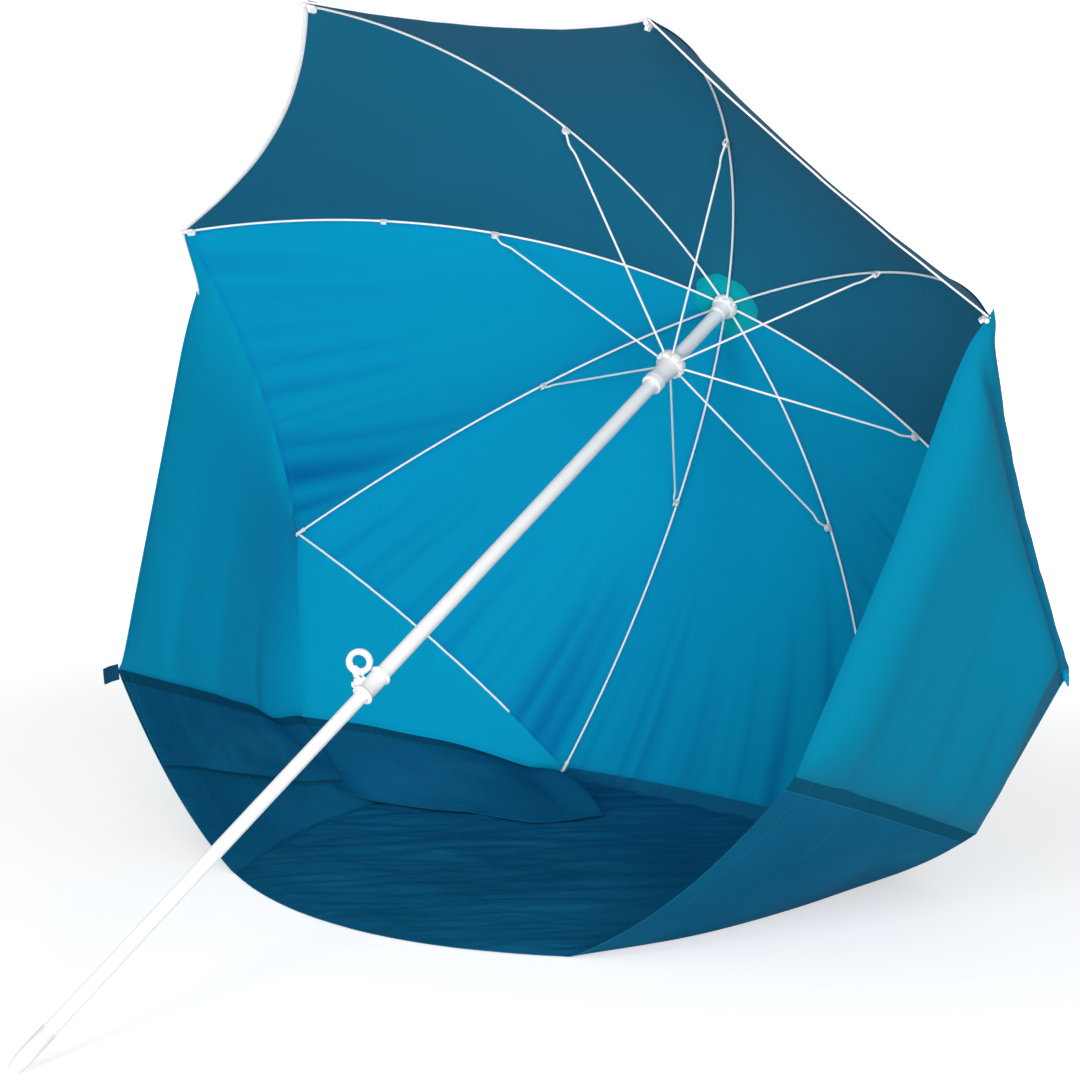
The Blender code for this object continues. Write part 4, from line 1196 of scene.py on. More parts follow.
@dataclass
class Canopy:
    """Eight gores in halves that follow their ribs, with bindings, seams, pockets and patch."""

    ribs: Ribwork
    wardrobe: Wardrobe
    start_radius: float = 0.0190
    half_columns: int = 36
    rows: int = 60
    keep: float = 0.25
    free_scallop: float = 0.055
    wall_scallop: float = 0.028
    rear_scallop: float = 0.018
    ground_scallop: float = 0.008
    binding_width: float = 0.0075
    binding_thickness: float = 0.0030
    seam_width: float = 0.009
    seam_thickness: float = 0.0016
    patch_thickness: float = 0.0008
    pocket_length: float = 0.040
    sleeve_past: float = 0.026
    sleeve_steps: int = 14
    sleeve_sides: int = 20
    tab_ribs: tuple[int, ...] = (8, 1, 2, 3)
    row_power: float = 1.15
    folds: dict[int, Folds] = field(init=False)

    def __post_init__(self) -> None:
        """Set out every gore's folds."""
        self.folds = {number: Folds(groups) for number, groups in GORE_FOLDS.items()}

    def scallop(self, number: int) -> float:
        """How far a gore's rim is cut back between its ribs."""
        if number in (1, 2, 8):
            return self.free_scallop
        if number in (3, 7):
            return self.wall_scallop
        return self.ground_scallop if number == 5 else self.rear_scallop

    def angle(self, number: int, u: float, v: float, beyond: float = 0.0) -> float:
        """The angle from the pole at (u, v) on a gore."""
        start = self.start_radius / self.ribs.dome_radius
        end = self.ribs.rim_angle - self.scallop(number) * 4 * u * (1 - u) / self.ribs.dome_radius
        return start + (end - start) * v + beyond / self.ribs.dome_radius

    def wrinkle(self, number: int, u: float, v: float) -> float:
        """How far the cloth stands out of its even curve at (u, v)."""
        free = min(1.0, 14 * u * (1 - u))
        drift = noise.noise(Vector((number * 7.3 + u * 2.4, v * 3.1, 0.7)))
        return (self.folds[number].height(u, v) + 0.003 * drift * ease(v, 0.15, 0.6)) * free

    def shade(self, number: int, u: float, v: float) -> float:
        """How much shade is painted into the cloth's folds at (u, v)."""
        return self.folds[number].shade(u, v) * min(1.0, 20 * u * (1 - u))

    def gore_point(
        self, number: int, u: float, v: float, beyond: float = 0.0, share: float = 1.0
    ) -> Vector:
        """A point of a gore's inner face.

        Args:
            number: the gore.
            u: from rib to rib.
            v: from the hub to the rim.
            beyond: how far past the rim.
            share: how much of the folds is kept.

        Returns:
            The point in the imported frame.
        """
        angle = self.angle(number, u, v, beyond)
        outward = self.ribs.dome_normal(angle, self.ribs.azimuth(number + 0.5))
        return self.ribs.canopy_point(number, u, angle) + outward * self.wrinkle(number, u, v) * share

    def follow_rib(self, piece: Piece, rib: int) -> Piece:
        """Let a soft piece ride on a rib.

        Args:
            piece: the piece, its mesh final.
            rib: the rib's number.

        Returns:
            The same piece.
        """
        frame_matrix = self.ribs.rib_frame(rib)
        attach(piece, f"rib_arm_{rib}")
        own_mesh(piece)
        return piece

    def halves(self, number: int) -> list[tuple[str, int, float, float]]:
        """The two halves of a gore: name, rib, and where u starts and ends."""
        after = number % self.ribs.count + 1
        return [(f"gore_{number}_a", number, 0.0, 0.5), (f"gore_{number}_b", after, 0.5, 1.0)]

    def build_gores(self) -> None:
        """Every half gore, both halves cut from one measured sheet."""
        hems = (Edge.START, Edge.END, Edge.BOTTOM)
        for number in range(1, self.ribs.count + 1):
            finish = "dark_cloth" if number in DARK_GORES else "bright_cloth"
            columns = 2 * self.half_columns
            fold = self.fold_shade(number)
            grid = SheetGrid.measure(self.whole_point(number), columns, self.rows, hems, fold)
            for name, rib, low, _ in self.halves(number):
                first = round(low * columns)
                piece = grid.part(first, first + self.half_columns).piece(name, self.ribs.middle())
                thicken(self.wardrobe.dress(piece, finish), self.ribs.cloth)
                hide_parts(f"gore_{number}")
                declare_sheet(piece)
                self.follow_rib(piece, rib)

    def whole_point(self, number: int) -> SurfacePoint:
        """A gore's surface, its rows wider near the rim."""
        return lambda u, v: self.gore_point(number, u, v**self.row_power)

    def fold_shade(self, number: int) -> Callable[[float, float], float]:
        """A gore's painted fold shade on the same rows as its surface."""
        return lambda u, v: self.shade(number, u, v**self.row_power)

    def build_bindings(self) -> None:
        """White tape folded over the free rims, and a thin white line on part of gore 6's rim."""
        plans = ((8, 0.0, 1.0, 1.0), (1, 0.0, 1.0, 0.8), (2, 0.0, 1.0, 0.8), (6, 0.22, 1.0, 0.5))
        for number, start, end, share in plans:
            for name, rib, low, high in self.halves(number):
                first, last = max(low, start), min(high, end)
                steps = [first + (last - first) * step / 90 for step in range(91)]
                centres = [self.gore_point(number, u, 1.0, -0.0025 * share) for u in steps]
                inner = [self.gore_point(number, u, 1.0, -0.02) for u in steps]
                widths = [centre - other for centre, other in zip(centres, inner)]
                azimuth = self.ribs.azimuth(number + 0.5)
                normals = [self.ribs.dome_normal(self.ribs.rim_angle, azimuth)] * len(steps)
                rise = self.ribs.cloth / 2 if number != 6 else -0.0009
                centres = [centre + normal * rise for centre, normal in zip(centres, normals)]
                size = (self.binding_width * share, self.binding_thickness * (0.6 + 0.4 * share))
                piece = ribbon_mesh(name.replace("gore", "binding"), centres, widths, normals, size)
                self.wardrobe.dress(piece, "white_binding")
                self.follow_rib(piece, rib)

    def build_seams(self) -> None:
        """A raised seam over each rib, on the canopy's outer face."""
        for number in range(1, self.ribs.count + 1):
            azimuth = self.ribs.azimuth(number)
            frame_matrix = self.ribs.rib_frame(number)
            sideways = frame_matrix.to_3x3() @ Vector((0, 1, 0))
            start = self.start_radius / self.ribs.dome_radius
            angles = [start + (self.ribs.rim_angle - 0.004 - start) * step / 50 for step in range(51)]
            height = self.ribs.cloth + self.seam_thickness / 4
            lifts = [self.ribs.lift(angle) + height for angle in angles]
            centres = [self.ribs.dome_point(angle, azimuth, lift) for angle, lift in zip(angles, lifts)]
            normals = [self.ribs.dome_normal(angle, azimuth) for angle in angles]
            size = (self.seam_width, self.seam_thickness)
            piece = ribbon_mesh(f"seam_{number}", centres, [sideways] * len(angles), normals, size)
            self.wardrobe.dress(piece, "dark_cloth" if number in (*DARK_GORES, 4) else "bright_cloth")
            self.follow_rib(piece, number)

    def build_pockets(self) -> None:
        """White tabs at the free tips, and the cloth sleeve at the right wall's end."""
        for number in self.tab_ribs:
            self.build_tab(number)
        self.build_sleeve(4)

    def build_tab(self, number: int) -> None:
        """A flat white tab across the underside of a rib's end, its lower edge shorter."""
        place = self.ribs.arc_point(self.ribs.rim_angle - 0.012)
        matrix = self.ribs.rib_frame(number) @ Matrix.Translation(place)
        tip = self.ribs.tip_direction()
        matrix = matrix @ Matrix.Rotation(math.atan2(-tip.z, tip.x), 4, "Y")
        low = -self.ribs.wire_radius - 0.0075
        outline = [(-0.009, 0.0), (-0.006, low), (0.005, low), (0.0085, 0.0)]
        piece = soften(plate_mesh(f"tip_tab_{number}", outline, 0.0052, matrix), 0.0009)
        self.wardrobe.fit(piece, "white_plastic", f"rib_arm_{number}")

    def build_sleeve(self, number: int) -> None:
        """A narrow cloth sleeve round a rib's end that runs on past it to a flat point."""
        frame_matrix = self.ribs.rib_frame(number)
        sideways = frame_matrix.to_3x3() @ Vector((0, 1, 0))
        azimuth = self.ribs.azimuth(number)
        past, steps, sides = self.sleeve_past, self.sleeve_steps, self.sleeve_sides
        shares = [step / steps for step in range(steps + 1)]
        reaches = [past - (self.pocket_length + past) * (1 - share) for share in shares]
        angles = [self.ribs.rim_angle + reach / self.ribs.dome_radius for reach in reaches]
        centres = [self.ribs.dome_point(angle, azimuth, 0.0) for angle in angles]
        normals = [self.ribs.dome_normal(angle, azimuth) for angle in angles]
        shape = bmesh.new()
        layer = shape.loops.layers.uv.new(CLOTH_MAP)
        rings = []
        for index, (centre, normal) in enumerate(zip(centres, normals)):
            share = index / steps
            close = ease(share, 0.72, 1.0)
            half_width = (0.0052 + 0.0012 * share) * (1 - 0.62 * close)
            half_thick = 0.0044 * (1 - 0.75 * close) + 0.0004
            ring = []
            for side in range(sides):
                turn = math.tau * side / sides
                offset = sideways * half_width * math.cos(turn) + normal * half_thick * math.sin(turn)
                ring.append(shape.verts.new(centre + offset))
            rings.append(ring)
        for index, (first, second) in enumerate(zip(rings, rings[1:])):
            for side, face in enumerate(bridge(shape, first, second)):
                for loop, row in zip(face.loops, (index, index, index + 1, index + 1)):
                    loop[layer].uv = (side * 0.0015, row * 0.003)
        shape.faces.new(rings[0][::-1])
        shape.faces.new(rings[-1])
        piece = close_mesh(f"tip_sleeve_{number}", shape)
        self.wardrobe.fit(piece, "bright_cloth", f"rib_arm_{number}")

    def build_patch(self) -> None:
        """The turquoise patch inside the canopy, one lobe to each rib."""
        drop = self.patch_thickness + self.ribs.clearance
        start = (self.start_radius - 0.004) / self.ribs.dome_radius
        near, far = self.ribs.row_angle(1), self.ribs.row_angle(2)
        for number in range(1, self.ribs.count + 1):
            before = number - 1 if number > 1 else self.ribs.count

            def lobe_point(u: float, v: float, number: int = number, before: int = before) -> Vector:
                """The lobe's inner face, u across the rib and v outward."""
                turn = u - 0.5
                gore, across = (before, 1 + turn) if turn < 0 else (number, turn)
                edge = near + (far - near) * (0.62 - 0.10 * math.cos(math.tau * turn))
                return self.ribs.canopy_point(gore, across, start + (edge - start) * v, drop)

            grid = SheetGrid.measure(lobe_point, 20, 12, (Edge.BOTTOM,))
            piece = grid.piece(f"patch_lobe_{number}", self.ribs.middle())
            thicken(self.wardrobe.dress(piece, "patch_cloth"), self.patch_thickness)
            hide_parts("hub_patch")
            declare_sheet(piece)
            self.follow_rib(piece, number)

    def build(self) -> None:
        """Build the whole canopy."""
        self.build_gores()
        self.build_bindings()
        self.build_seams()
        self.build_pockets()
        self.build_patch()


@dataclass
class Skirt:
    """Side walls, dark bands, inner flaps and floor, hung from the canopy's rim."""

    ribs: Ribwork
    canopy: Canopy
    wardrobe: Wardrobe
    corner_turn: float = 0.62
    corner_column: float = 0.6875
    wall_slope: tuple[float, float] = (0.85, 0.527)
    keep: float = 0.06
    left_front: tuple[float, float, float] = (-0.773, -0.955, 0.345)
    left_seam: tuple[float, float, float] = (-0.785, -0.388, 0.134)
    right_front: tuple[float, float, float] = (0.653, -0.727, 0.345)
    right_seam: tuple[float, float, float] = (0.729, -0.199, 0.134)
    left_edge: tuple[tuple[float, float], ...] = (
        (-0.383, -0.010), (-0.520, -0.200), (-0.545, -0.420), (-0.530, -0.690), (-0.442, -0.979),
    )
    right_edge: tuple[tuple[float, float], ...] = (
        (0.383, -0.010), (0.500, -0.130), (0.505, -0.360), (0.445, -0.690), (0.335, -0.955),
    )
    front_hem: tuple[float, ...] = (0.40, 0.43, 0.50, 0.58, 0.68, 0.72)
    front_end: tuple[float, float] = (0.61, 0.47)
    flap_start: float = 0.06
    flap_end: float = 0.74
    back_start: float = 0.57
    back_end: float = 0.985
    back_hem: tuple[tuple[float, float, float], ...] = (
        (-0.604, -0.500, 0.0360), (-0.549, -0.449, 0.0110), (-0.431, -0.414, 0.0076),
        (-0.343, -0.376, 0.0076), (-0.196, -0.343, 0.0076), (-0.124, -0.214, 0.0076),
    )
    curl_height: float = 0.022
    right_hem: tuple[tuple[float, float, float], ...] = (
        (0.520, -0.710, 0.190), (0.530, -0.600, 0.140), (0.540, -0.330, 0.058), (0.450, -0.310, 0.012),
        (0.330, -0.320, 0.005), (0.220, -0.310, 0.003), (0.190, -0.260, 0.003),
    )
    front_bulge: float = 0.120
    rear_setback: float = 0.012
    tape_end: float = 0.058
    shade_gusset_share: float = 0.105
    wall_folds: dict[Side, Folds] = field(init=False)

    def __post_init__(self) -> None:
        """Set out the folds of both walls."""
        self.wall_folds = {side: Folds(groups) for side, groups in WALL_FOLDS.items()}

    def at(self, shares: Sequence[float]) -> Vector:
        """A point given as shares of the rim radius in the tent's own frame."""
        return Vector(shares) * self.ribs.rim_radius + self.ribs.shift

    def front_corner(self, side: Side) -> Vector:
        """The free lower corner of a side wall."""
        return self.at(self.left_front if side is Side.LEFT else self.right_front)

    def seam_corner(self, side: Side) -> Vector:
        """The lower end of the seam below rib 4 or 7."""
        return self.at(self.left_seam if side is Side.LEFT else self.right_seam)

    def rear_corner(self, side: Side) -> Vector:
        """Where the cloth meets the ground beside a lowest rib tip."""
        reach = self.ribs.rim_radius * math.sin(self.ribs.sector / 2) + self.rear_setback
        return Vector((side.value * reach, -self.rear_setback, 0.004)) + self.ribs.shift

    def wall_point(self, side: Side, u: float, v: float) -> Vector:
        """A front side wall, u from its free edge to the seam, v from the rim down."""
        if side is Side.LEFT:
            drawn = 0.125 * ease(v, 0.0, 0.06) * (1 - v) ** 0.55 * (1 - u) ** 3
        else:
            drawn = -0.026 * ease(1 - v, 0.45, 1.0) * (1 - u) ** 3
            # The seam edge is drawn in to leave room for the dark sheet of painted shade.
            drawn -= self.shade_gusset_share * math.sin(math.pi * min(v * 1.05 + 0.16, 1.0)) * u**4
        return self.plain_wall_point(side, u + drawn, v)

    def plain_wall_point(self, side: Side, u: float, v: float) -> Vector:
        """A front side wall whose ends run straight from the rib tips to the lower corners."""
        number, across = (7, 1 - u) if side is Side.LEFT else (3, u)
        top = self.canopy.gore_point(number, across, 1.0, share=1 - ease(v, 0.0, 0.07))
        bottom = self.front_corner(side).lerp(self.seam_corner(side), u)
        bottom.z += self.junction_wave(side, u * self.corner_turn)
        swelling = Vector((-0.018, 0, 0)) if side is Side.LEFT else Vector((0.044, -0.026, 0))
        swell = swelling * (1 - (2 * u - 1) ** 6) * (1 - (2 * v - 1) ** 6)
        out = Vector((side.value, 0, 0)) * self.wall_relief(side, u, v)
        if side is Side.RIGHT:
            out += Vector((0.003, 0.009, 0.0)) * (1 - ease(u, 0.0, 0.08)) * (1 - ease(v, 0.0, 0.08))
        return top.lerp(bottom, v) + swell + out

    def wall_relief(self, side: Side, u: float, v: float) -> float:
        """Soft hanging folds of a side wall, and the raised hem along the rim of the right one."""
        free = min(1.0, 10 * u * (1 - u)) * ease(v, 0.0, 0.25)
        drift = noise.noise(Vector((side.value * 5.1 + u * 1.6, v * 1.2, 2.3)))
        relief = (0.003 + 0.004 * drift + self.wall_folds[side].height(u, v)) * free
        if side is Side.RIGHT:
            relief += (0.004 * mound(v, 0.02, 0.018) - 0.005 * mound(v, 0.065, 0.02)) * ease(u, 0.0, 0.1)
        return relief

    def wall_shade(self, side: Side, u: float, v: float) -> float:
        """How much shade is painted into a side wall's folds at (u, v)."""
        shade = self.wall_folds[side].shade(u, v) * min(1.0, 10 * u * (1 - u))
        if side is Side.RIGHT:
            # Painted shade: a dark band in the valley under the right wall's rim hem.
            shade = min(1.0, shade + 0.9 * mound(v, 0.065, 0.026) * ease(u, 0.0, 0.2))
        return shade

    def shade_gusset_point(self, u: float, v: float) -> Vector:
        """A dark sheet beside the right wall's seam, painted shade where the rear wall lies in shade, u
        from the wall outwards, v from the rim down.
        """
        inner = self.wall_point(Side.RIGHT, 1.0, v)
        return inner.lerp(self.plain_wall_point(Side.RIGHT, 1.0, v), u)

    def rear_wall_point(self, side: Side, u: float, v: float) -> Vector:
        """A rear wall, u from the seam to the lowest rib tip, v from the rim down."""
        number, across = (6, 1 - u) if side is Side.LEFT else (4, u)
        top = self.canopy.gore_point(number, across, 1.0, share=1 - ease(v, 0.0, 0.3))
        bottom = self.seam_corner(side).lerp(self.rear_corner(side), u)
        bottom.z += self.junction_wave(side, self.corner_turn + u * (1 - self.corner_turn))
        free = 16 * u * (1 - u) * v * (1 - v)
        drift = noise.noise(Vector((side.value * 2.1 + u * 4.0, v * 1.5, 5.3)))
        relief = free * (0.002 + 0.004 * abs(drift)) + 0.0014 * (1 - ease(u, 0, 0.06))
        out = Vector((side.value, 0, 0)) * relief
        lap = Vector((0, -0.003, 0)) * (1 - ease(u, 0, 0.04))
        return top.lerp(bottom, v) + out + lap * ease(v, 0.0, 0.1)

    def junction_wave(self, side: Side, share: float) -> float:
        """How far the walls' lower line stands above the straight between its corners."""
        if side is Side.RIGHT:
            return 0.004 * math.sin(math.pi * min(share / self.corner_turn, 1.0))
        ends = min(1.0, 12 * share) * min(1.0, 12 * (1 - share))
        dip = -0.015 * mound(share, 0.51, 0.06) - 0.003 * mound(share, 0.38, 0.05)
        rise = 0.009 * mound(share, 0.71, 0.07) + 0.013 * mound(share, 0.84, 0.09)
        return (dip + rise) * ends

    def junction_point(self, side: Side, share: float) -> Vector:
        """The line where walls and band meet, from the front corner to the rear corner."""
        lift = Vector((0, 0, self.junction_wave(side, share)))
        if share < self.corner_turn:
            return self.front_corner(side).lerp(self.seam_corner(side), share / self.corner_turn) + lift
        rest = (share - self.corner_turn) / (1 - self.corner_turn)
        return self.seam_corner(side).lerp(self.rear_corner(side), rest) + lift

    def floor_edge(self, side: Side, share: float) -> Vector:
        """A side of the floor, from the front to the rear."""
        shares = self.left_edge if side is Side.LEFT else self.right_edge
        return smooth_line([self.at((x, y, 0)) for x, y in reversed(shares)], share)

    def band_point(self, side: Side, u: float, v: float) -> Vector:
        """The dark lower side, u from front to rear, v from the walls down to the floor."""
        top = self.junction_point(side, u)
        bottom = self.floor_edge(side, u) + Vector((side.value * 0.0005, 0, 0.0018))
        free = 16 * u * (1 - u) * v * (1 - v)
        crease = noise.noise(Vector((u * 11.0, v * 2.0, side.value * 4.0)))
        wave = 0.004 * (1 - math.cos(math.tau * 4 * u)) * 0.5 + 0.0045 * max(0.0, crease)
        front = (1 - u) ** 2 * math.sin(math.pi * v) ** 0.8
        slack = Vector((0.0, -0.004, -0.024)) if side is Side.LEFT else Vector((0.006, -0.012, -0.032))
        sag = Vector((0, 0, -0.004)) * math.sin(math.pi * v) * (1 - u)
        return top.lerp(bottom, v) + Vector((side.value, 0, 0)) * wave * free + slack * front + sag

    def flap_plans(self, side: Side, below: Vector) -> list[tuple]:
        """What to build of one side's inner flap; the left one is two panels that lap."""
        hems = (Edge.TOP,)
        if side is Side.RIGHT:
            return [("flap", self.right_flap_point, None, (110, 36), "navy_sheet", below, hems)]
        return [
            ("flap_front", self.front_flap_point, None, (100, 30), "navy_sheet", below, hems),
            ("flap_back", self.back_flap_point, self.back_flap_shade, (110, 40), "navy_sheet", below, hems),
        ]

    def right_flap_point(self, side: Side, u: float, v: float) -> Vector:
        """The right inner flap, u from front to rear, v from the walls down to its free hem."""
        inward = Vector((-side.value, 0, 1)) * 0.0010
        top = self.junction_point(side, self.flap_share(u)) + inward
        bottom = smooth_line([self.at(point) for point in self.right_hem], u)
        ripple = 0.006 * abs(math.sin(math.pi * 5 * u)) * math.sin(math.pi * v) * (1 - u)
        crease = 0.0022 * noise.noise(Vector((u * 16.0, v * 3.0, 9.0))) * math.sin(math.pi * v) ** 0.5
        point = top.lerp(bottom, v)
        drape = u**2
        low = bottom.z + (top.z - bottom.z) * (1 - v) ** 4
        height = point.z * (1 - drape) + low * drape + ripple + max(crease, -ripple)
        return Vector((point.x, point.y, height + 0.0012))

    def front_flap_point(self, side: Side, u: float, v: float) -> Vector:
        """The left flap's front panel, which lies on the band and ends in a point at the rear."""
        drop = smooth_line([(share, 0, 0) for share in self.front_hem], u).x
        rear = self.front_end[0] + (self.front_end[1] - self.front_end[0]) * v
        across = u * rear
        place = self.band_point(side, across, v * drop)
        crease = 0.003 * abs(noise.noise(Vector((u * 9.0, v * 2.5, 8.0)))) * math.sin(math.pi * v) ** 0.5
        rise = 0.0012 + 0.0030 * min(1.0, 6 * v) + 0.004 * ease(v, 0.6, 1.0) * ease(u, 0.2, 0.6) + crease
        return place + Vector((0.6, 0, 0.8)) * rise

    def back_flap_point(self, side: Side, u: float, v: float) -> Vector:
        """The left flap's rear panel, whose end stands up in a curl beside the lowest rib."""
        top = self.junction_point(side, self.back_start + (self.back_end - self.back_start) * u)
        hem = smooth_line([self.at(point) for point in self.back_hem], u)
        point = top.lerp(hem, v) + Vector((0.0006, 0, 0.0008))
        slope = hem.z + (top.z - hem.z) * (1 - v) ** 1.25
        crease = 0.0035 * noise.noise(Vector((u * 7.0, v * 2.0, 3.0))) * math.sin(math.pi * v)
        ripple = 0.005 * max(0.0, math.sin(math.pi * 3 * u)) * math.sin(math.pi * v)
        curl = self.curl_height * ease(u, 0.9, 1.0) * math.sin(math.pi * min(1.0, v * 1.02)) ** 0.7
        return Vector((point.x, point.y, slope + crease + ripple + curl + 0.0010 * v))

    def back_flap_shade(self, side: Side, u: float, v: float) -> float:
        """The shade painted into the rear panel's hollows, and beside its curled end."""
        return 0.3 * mound(u, 0.1, 0.08) * (1 - 0.5 * v) + 0.2 * mound(u, 0.93, 0.03)

    def flap_share(self, u: float) -> float:
        """Where on the junction line a flap's column hangs."""
        if u < self.corner_column:
            return self.flap_start + u * (self.corner_turn - self.flap_start) / self.corner_column
        rest = (u - self.corner_column) / (1 - self.corner_column)
        return self.corner_turn + (self.flap_end - self.corner_turn) * rest

    def floor_point(self, u: float, v: float) -> Vector:
        """The floor, u from left to right, v from the rear to the front, its rear hem turned up."""
        left, right = self.floor_edge(Side.LEFT, 1 - v), self.floor_edge(Side.RIGHT, 1 - v)
        bulge = self.front_bulge * self.ribs.rim_radius * 4 * u * (1 - u) * v**3
        flat = left.lerp(right, u) - Vector((0, bulge, 0))
        free = min(1.0, 60 * u * (1 - u)) * min(1.0, 30 * v * (1 - v) + 0.12)
        place = Vector((flat.x * 2.8 + flat.y * 3.2, flat.y * 13.0 - flat.x * 14.0, 1.0))
        octaves = ((1.0, 1.0), (0.5, 2.3), (0.25, 5.1))
        rolls = sum(weight * abs(noise.noise(place * scale)) for weight, scale in octaves)
        turned_up = ease(1 - v, 0.975, 1.0)
        rim = self.canopy.gore_point(5, 1 - u, 1.0)
        meet = Vector((rim.x, rim.y - 0.0006, rim.z + 0.004)) - flat
        rise = Vector((0, 0, 0.0005 + 0.006 * rolls * free))
        return flat + rise + meet * turned_up * min(1.0, 60 * u * (1 - u))

    def fold_away(self, piece: Piece) -> None:
        """Let a side sheet ride on the body of the upper pole and cloth."""
        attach(piece, ROOT)
        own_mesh(piece)

    def build_side(self, side: Side) -> None:
        """The sheets of one side."""
        inside = self.ribs.middle()
        below = inside - Vector((0, 0, 3))
        wall_hems, band_hems = (Edge.START, Edge.BOTTOM), (Edge.TOP,)
        # The right wall takes the darker copy of the wall cloth, as painted shade.
        wall_finish = "wall_cloth" if side is Side.LEFT else "front_wall_cloth"
        plans = (
            ("wall", self.wall_point, self.wall_shade, (90, 60), wall_finish, inside, wall_hems),
            ("rear_wall", self.rear_wall_point, None, (56, 40), "wall_cloth", inside, wall_hems),
            ("band", self.band_point, None, (110, 36), "navy_sheet", inside, band_hems),
            *self.flap_plans(side, below),
        )
        if side is Side.LEFT:
            self.build_edge_tape()
        for label, point, shade, (columns, rows), finish, origin, hems in plans:
            name = f"{side.word}_{label}"
            fold = self.on_side(shade, side) if shade else None
            grid = SheetGrid.measure(self.on_side(point, side), columns, rows, hems, fold)
            piece = grid.piece(f"{name}_cloth", origin)
            thicken(self.wardrobe.dress(piece, finish), self.ribs.cloth)
            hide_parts(name.replace("_front", "").replace("_back", ""))
            declare_sheet(piece)
            self.fold_away(piece)
            LOG.info("%s: %d faces", piece.name, len(piece.data.polygons))

    def build_edge_tape(self) -> None:
        """White tape over the slanting top of the left wall's free edge."""
        downs = [0.002 + self.tape_end * step / 20 for step in range(21)]
        centres = [self.wall_point(Side.LEFT, 0.004, v) for v in downs]
        widths = [self.wall_point(Side.LEFT, 0.05, v) - centre for v, centre in zip(downs, centres)]
        normals = [Vector((-1.0, -0.2, 0.0))] * len(downs)
        piece = ribbon_mesh("left_edge_tape", centres, widths, normals, (0.008, 0.0026))
        self.wardrobe.dress(piece, "white_binding")
        self.fold_away(piece)

    def build_shade_gusset(self) -> None:
        """A dark sheet between the right wall and its seam: painted shade where the rear wall lies in
        shade.
        """
        grid = SheetGrid.measure(self.shade_gusset_point, 10, 50, (Edge.END,))
        piece = thicken(grid.piece("right_shade_gusset", self.ribs.middle()), self.ribs.cloth)
        self.wardrobe.dress(piece, "dark_cloth")
        declare_sheet(piece)
        self.fold_away(piece)

    def on_side(
        self, point: Callable[[Side, float, float], object], side: Side
    ) -> Callable[[float, float], object]:
        """A sheet's surface or shading with its side fixed."""
        return lambda u, v: point(side, u, v)

    def build_floor(self) -> None:
        """The crumpled floor."""
        below = self.ribs.middle() - Vector((0, 0, 3))
        piece = SheetGrid.measure(self.floor_point, 160, 170).piece("floor_cloth", below)
        thicken(self.wardrobe.dress(piece, "navy_sheet"), self.ribs.cloth)
        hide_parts("floor_sheet")
        declare_sheet(piece, 0.99)
        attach(piece, ROOT)

    def build(self) -> None:
        """Build everything below the rim."""
        for side in Side:
            self.build_side(side)
        self.build_shade_gusset()
        self.build_floor()


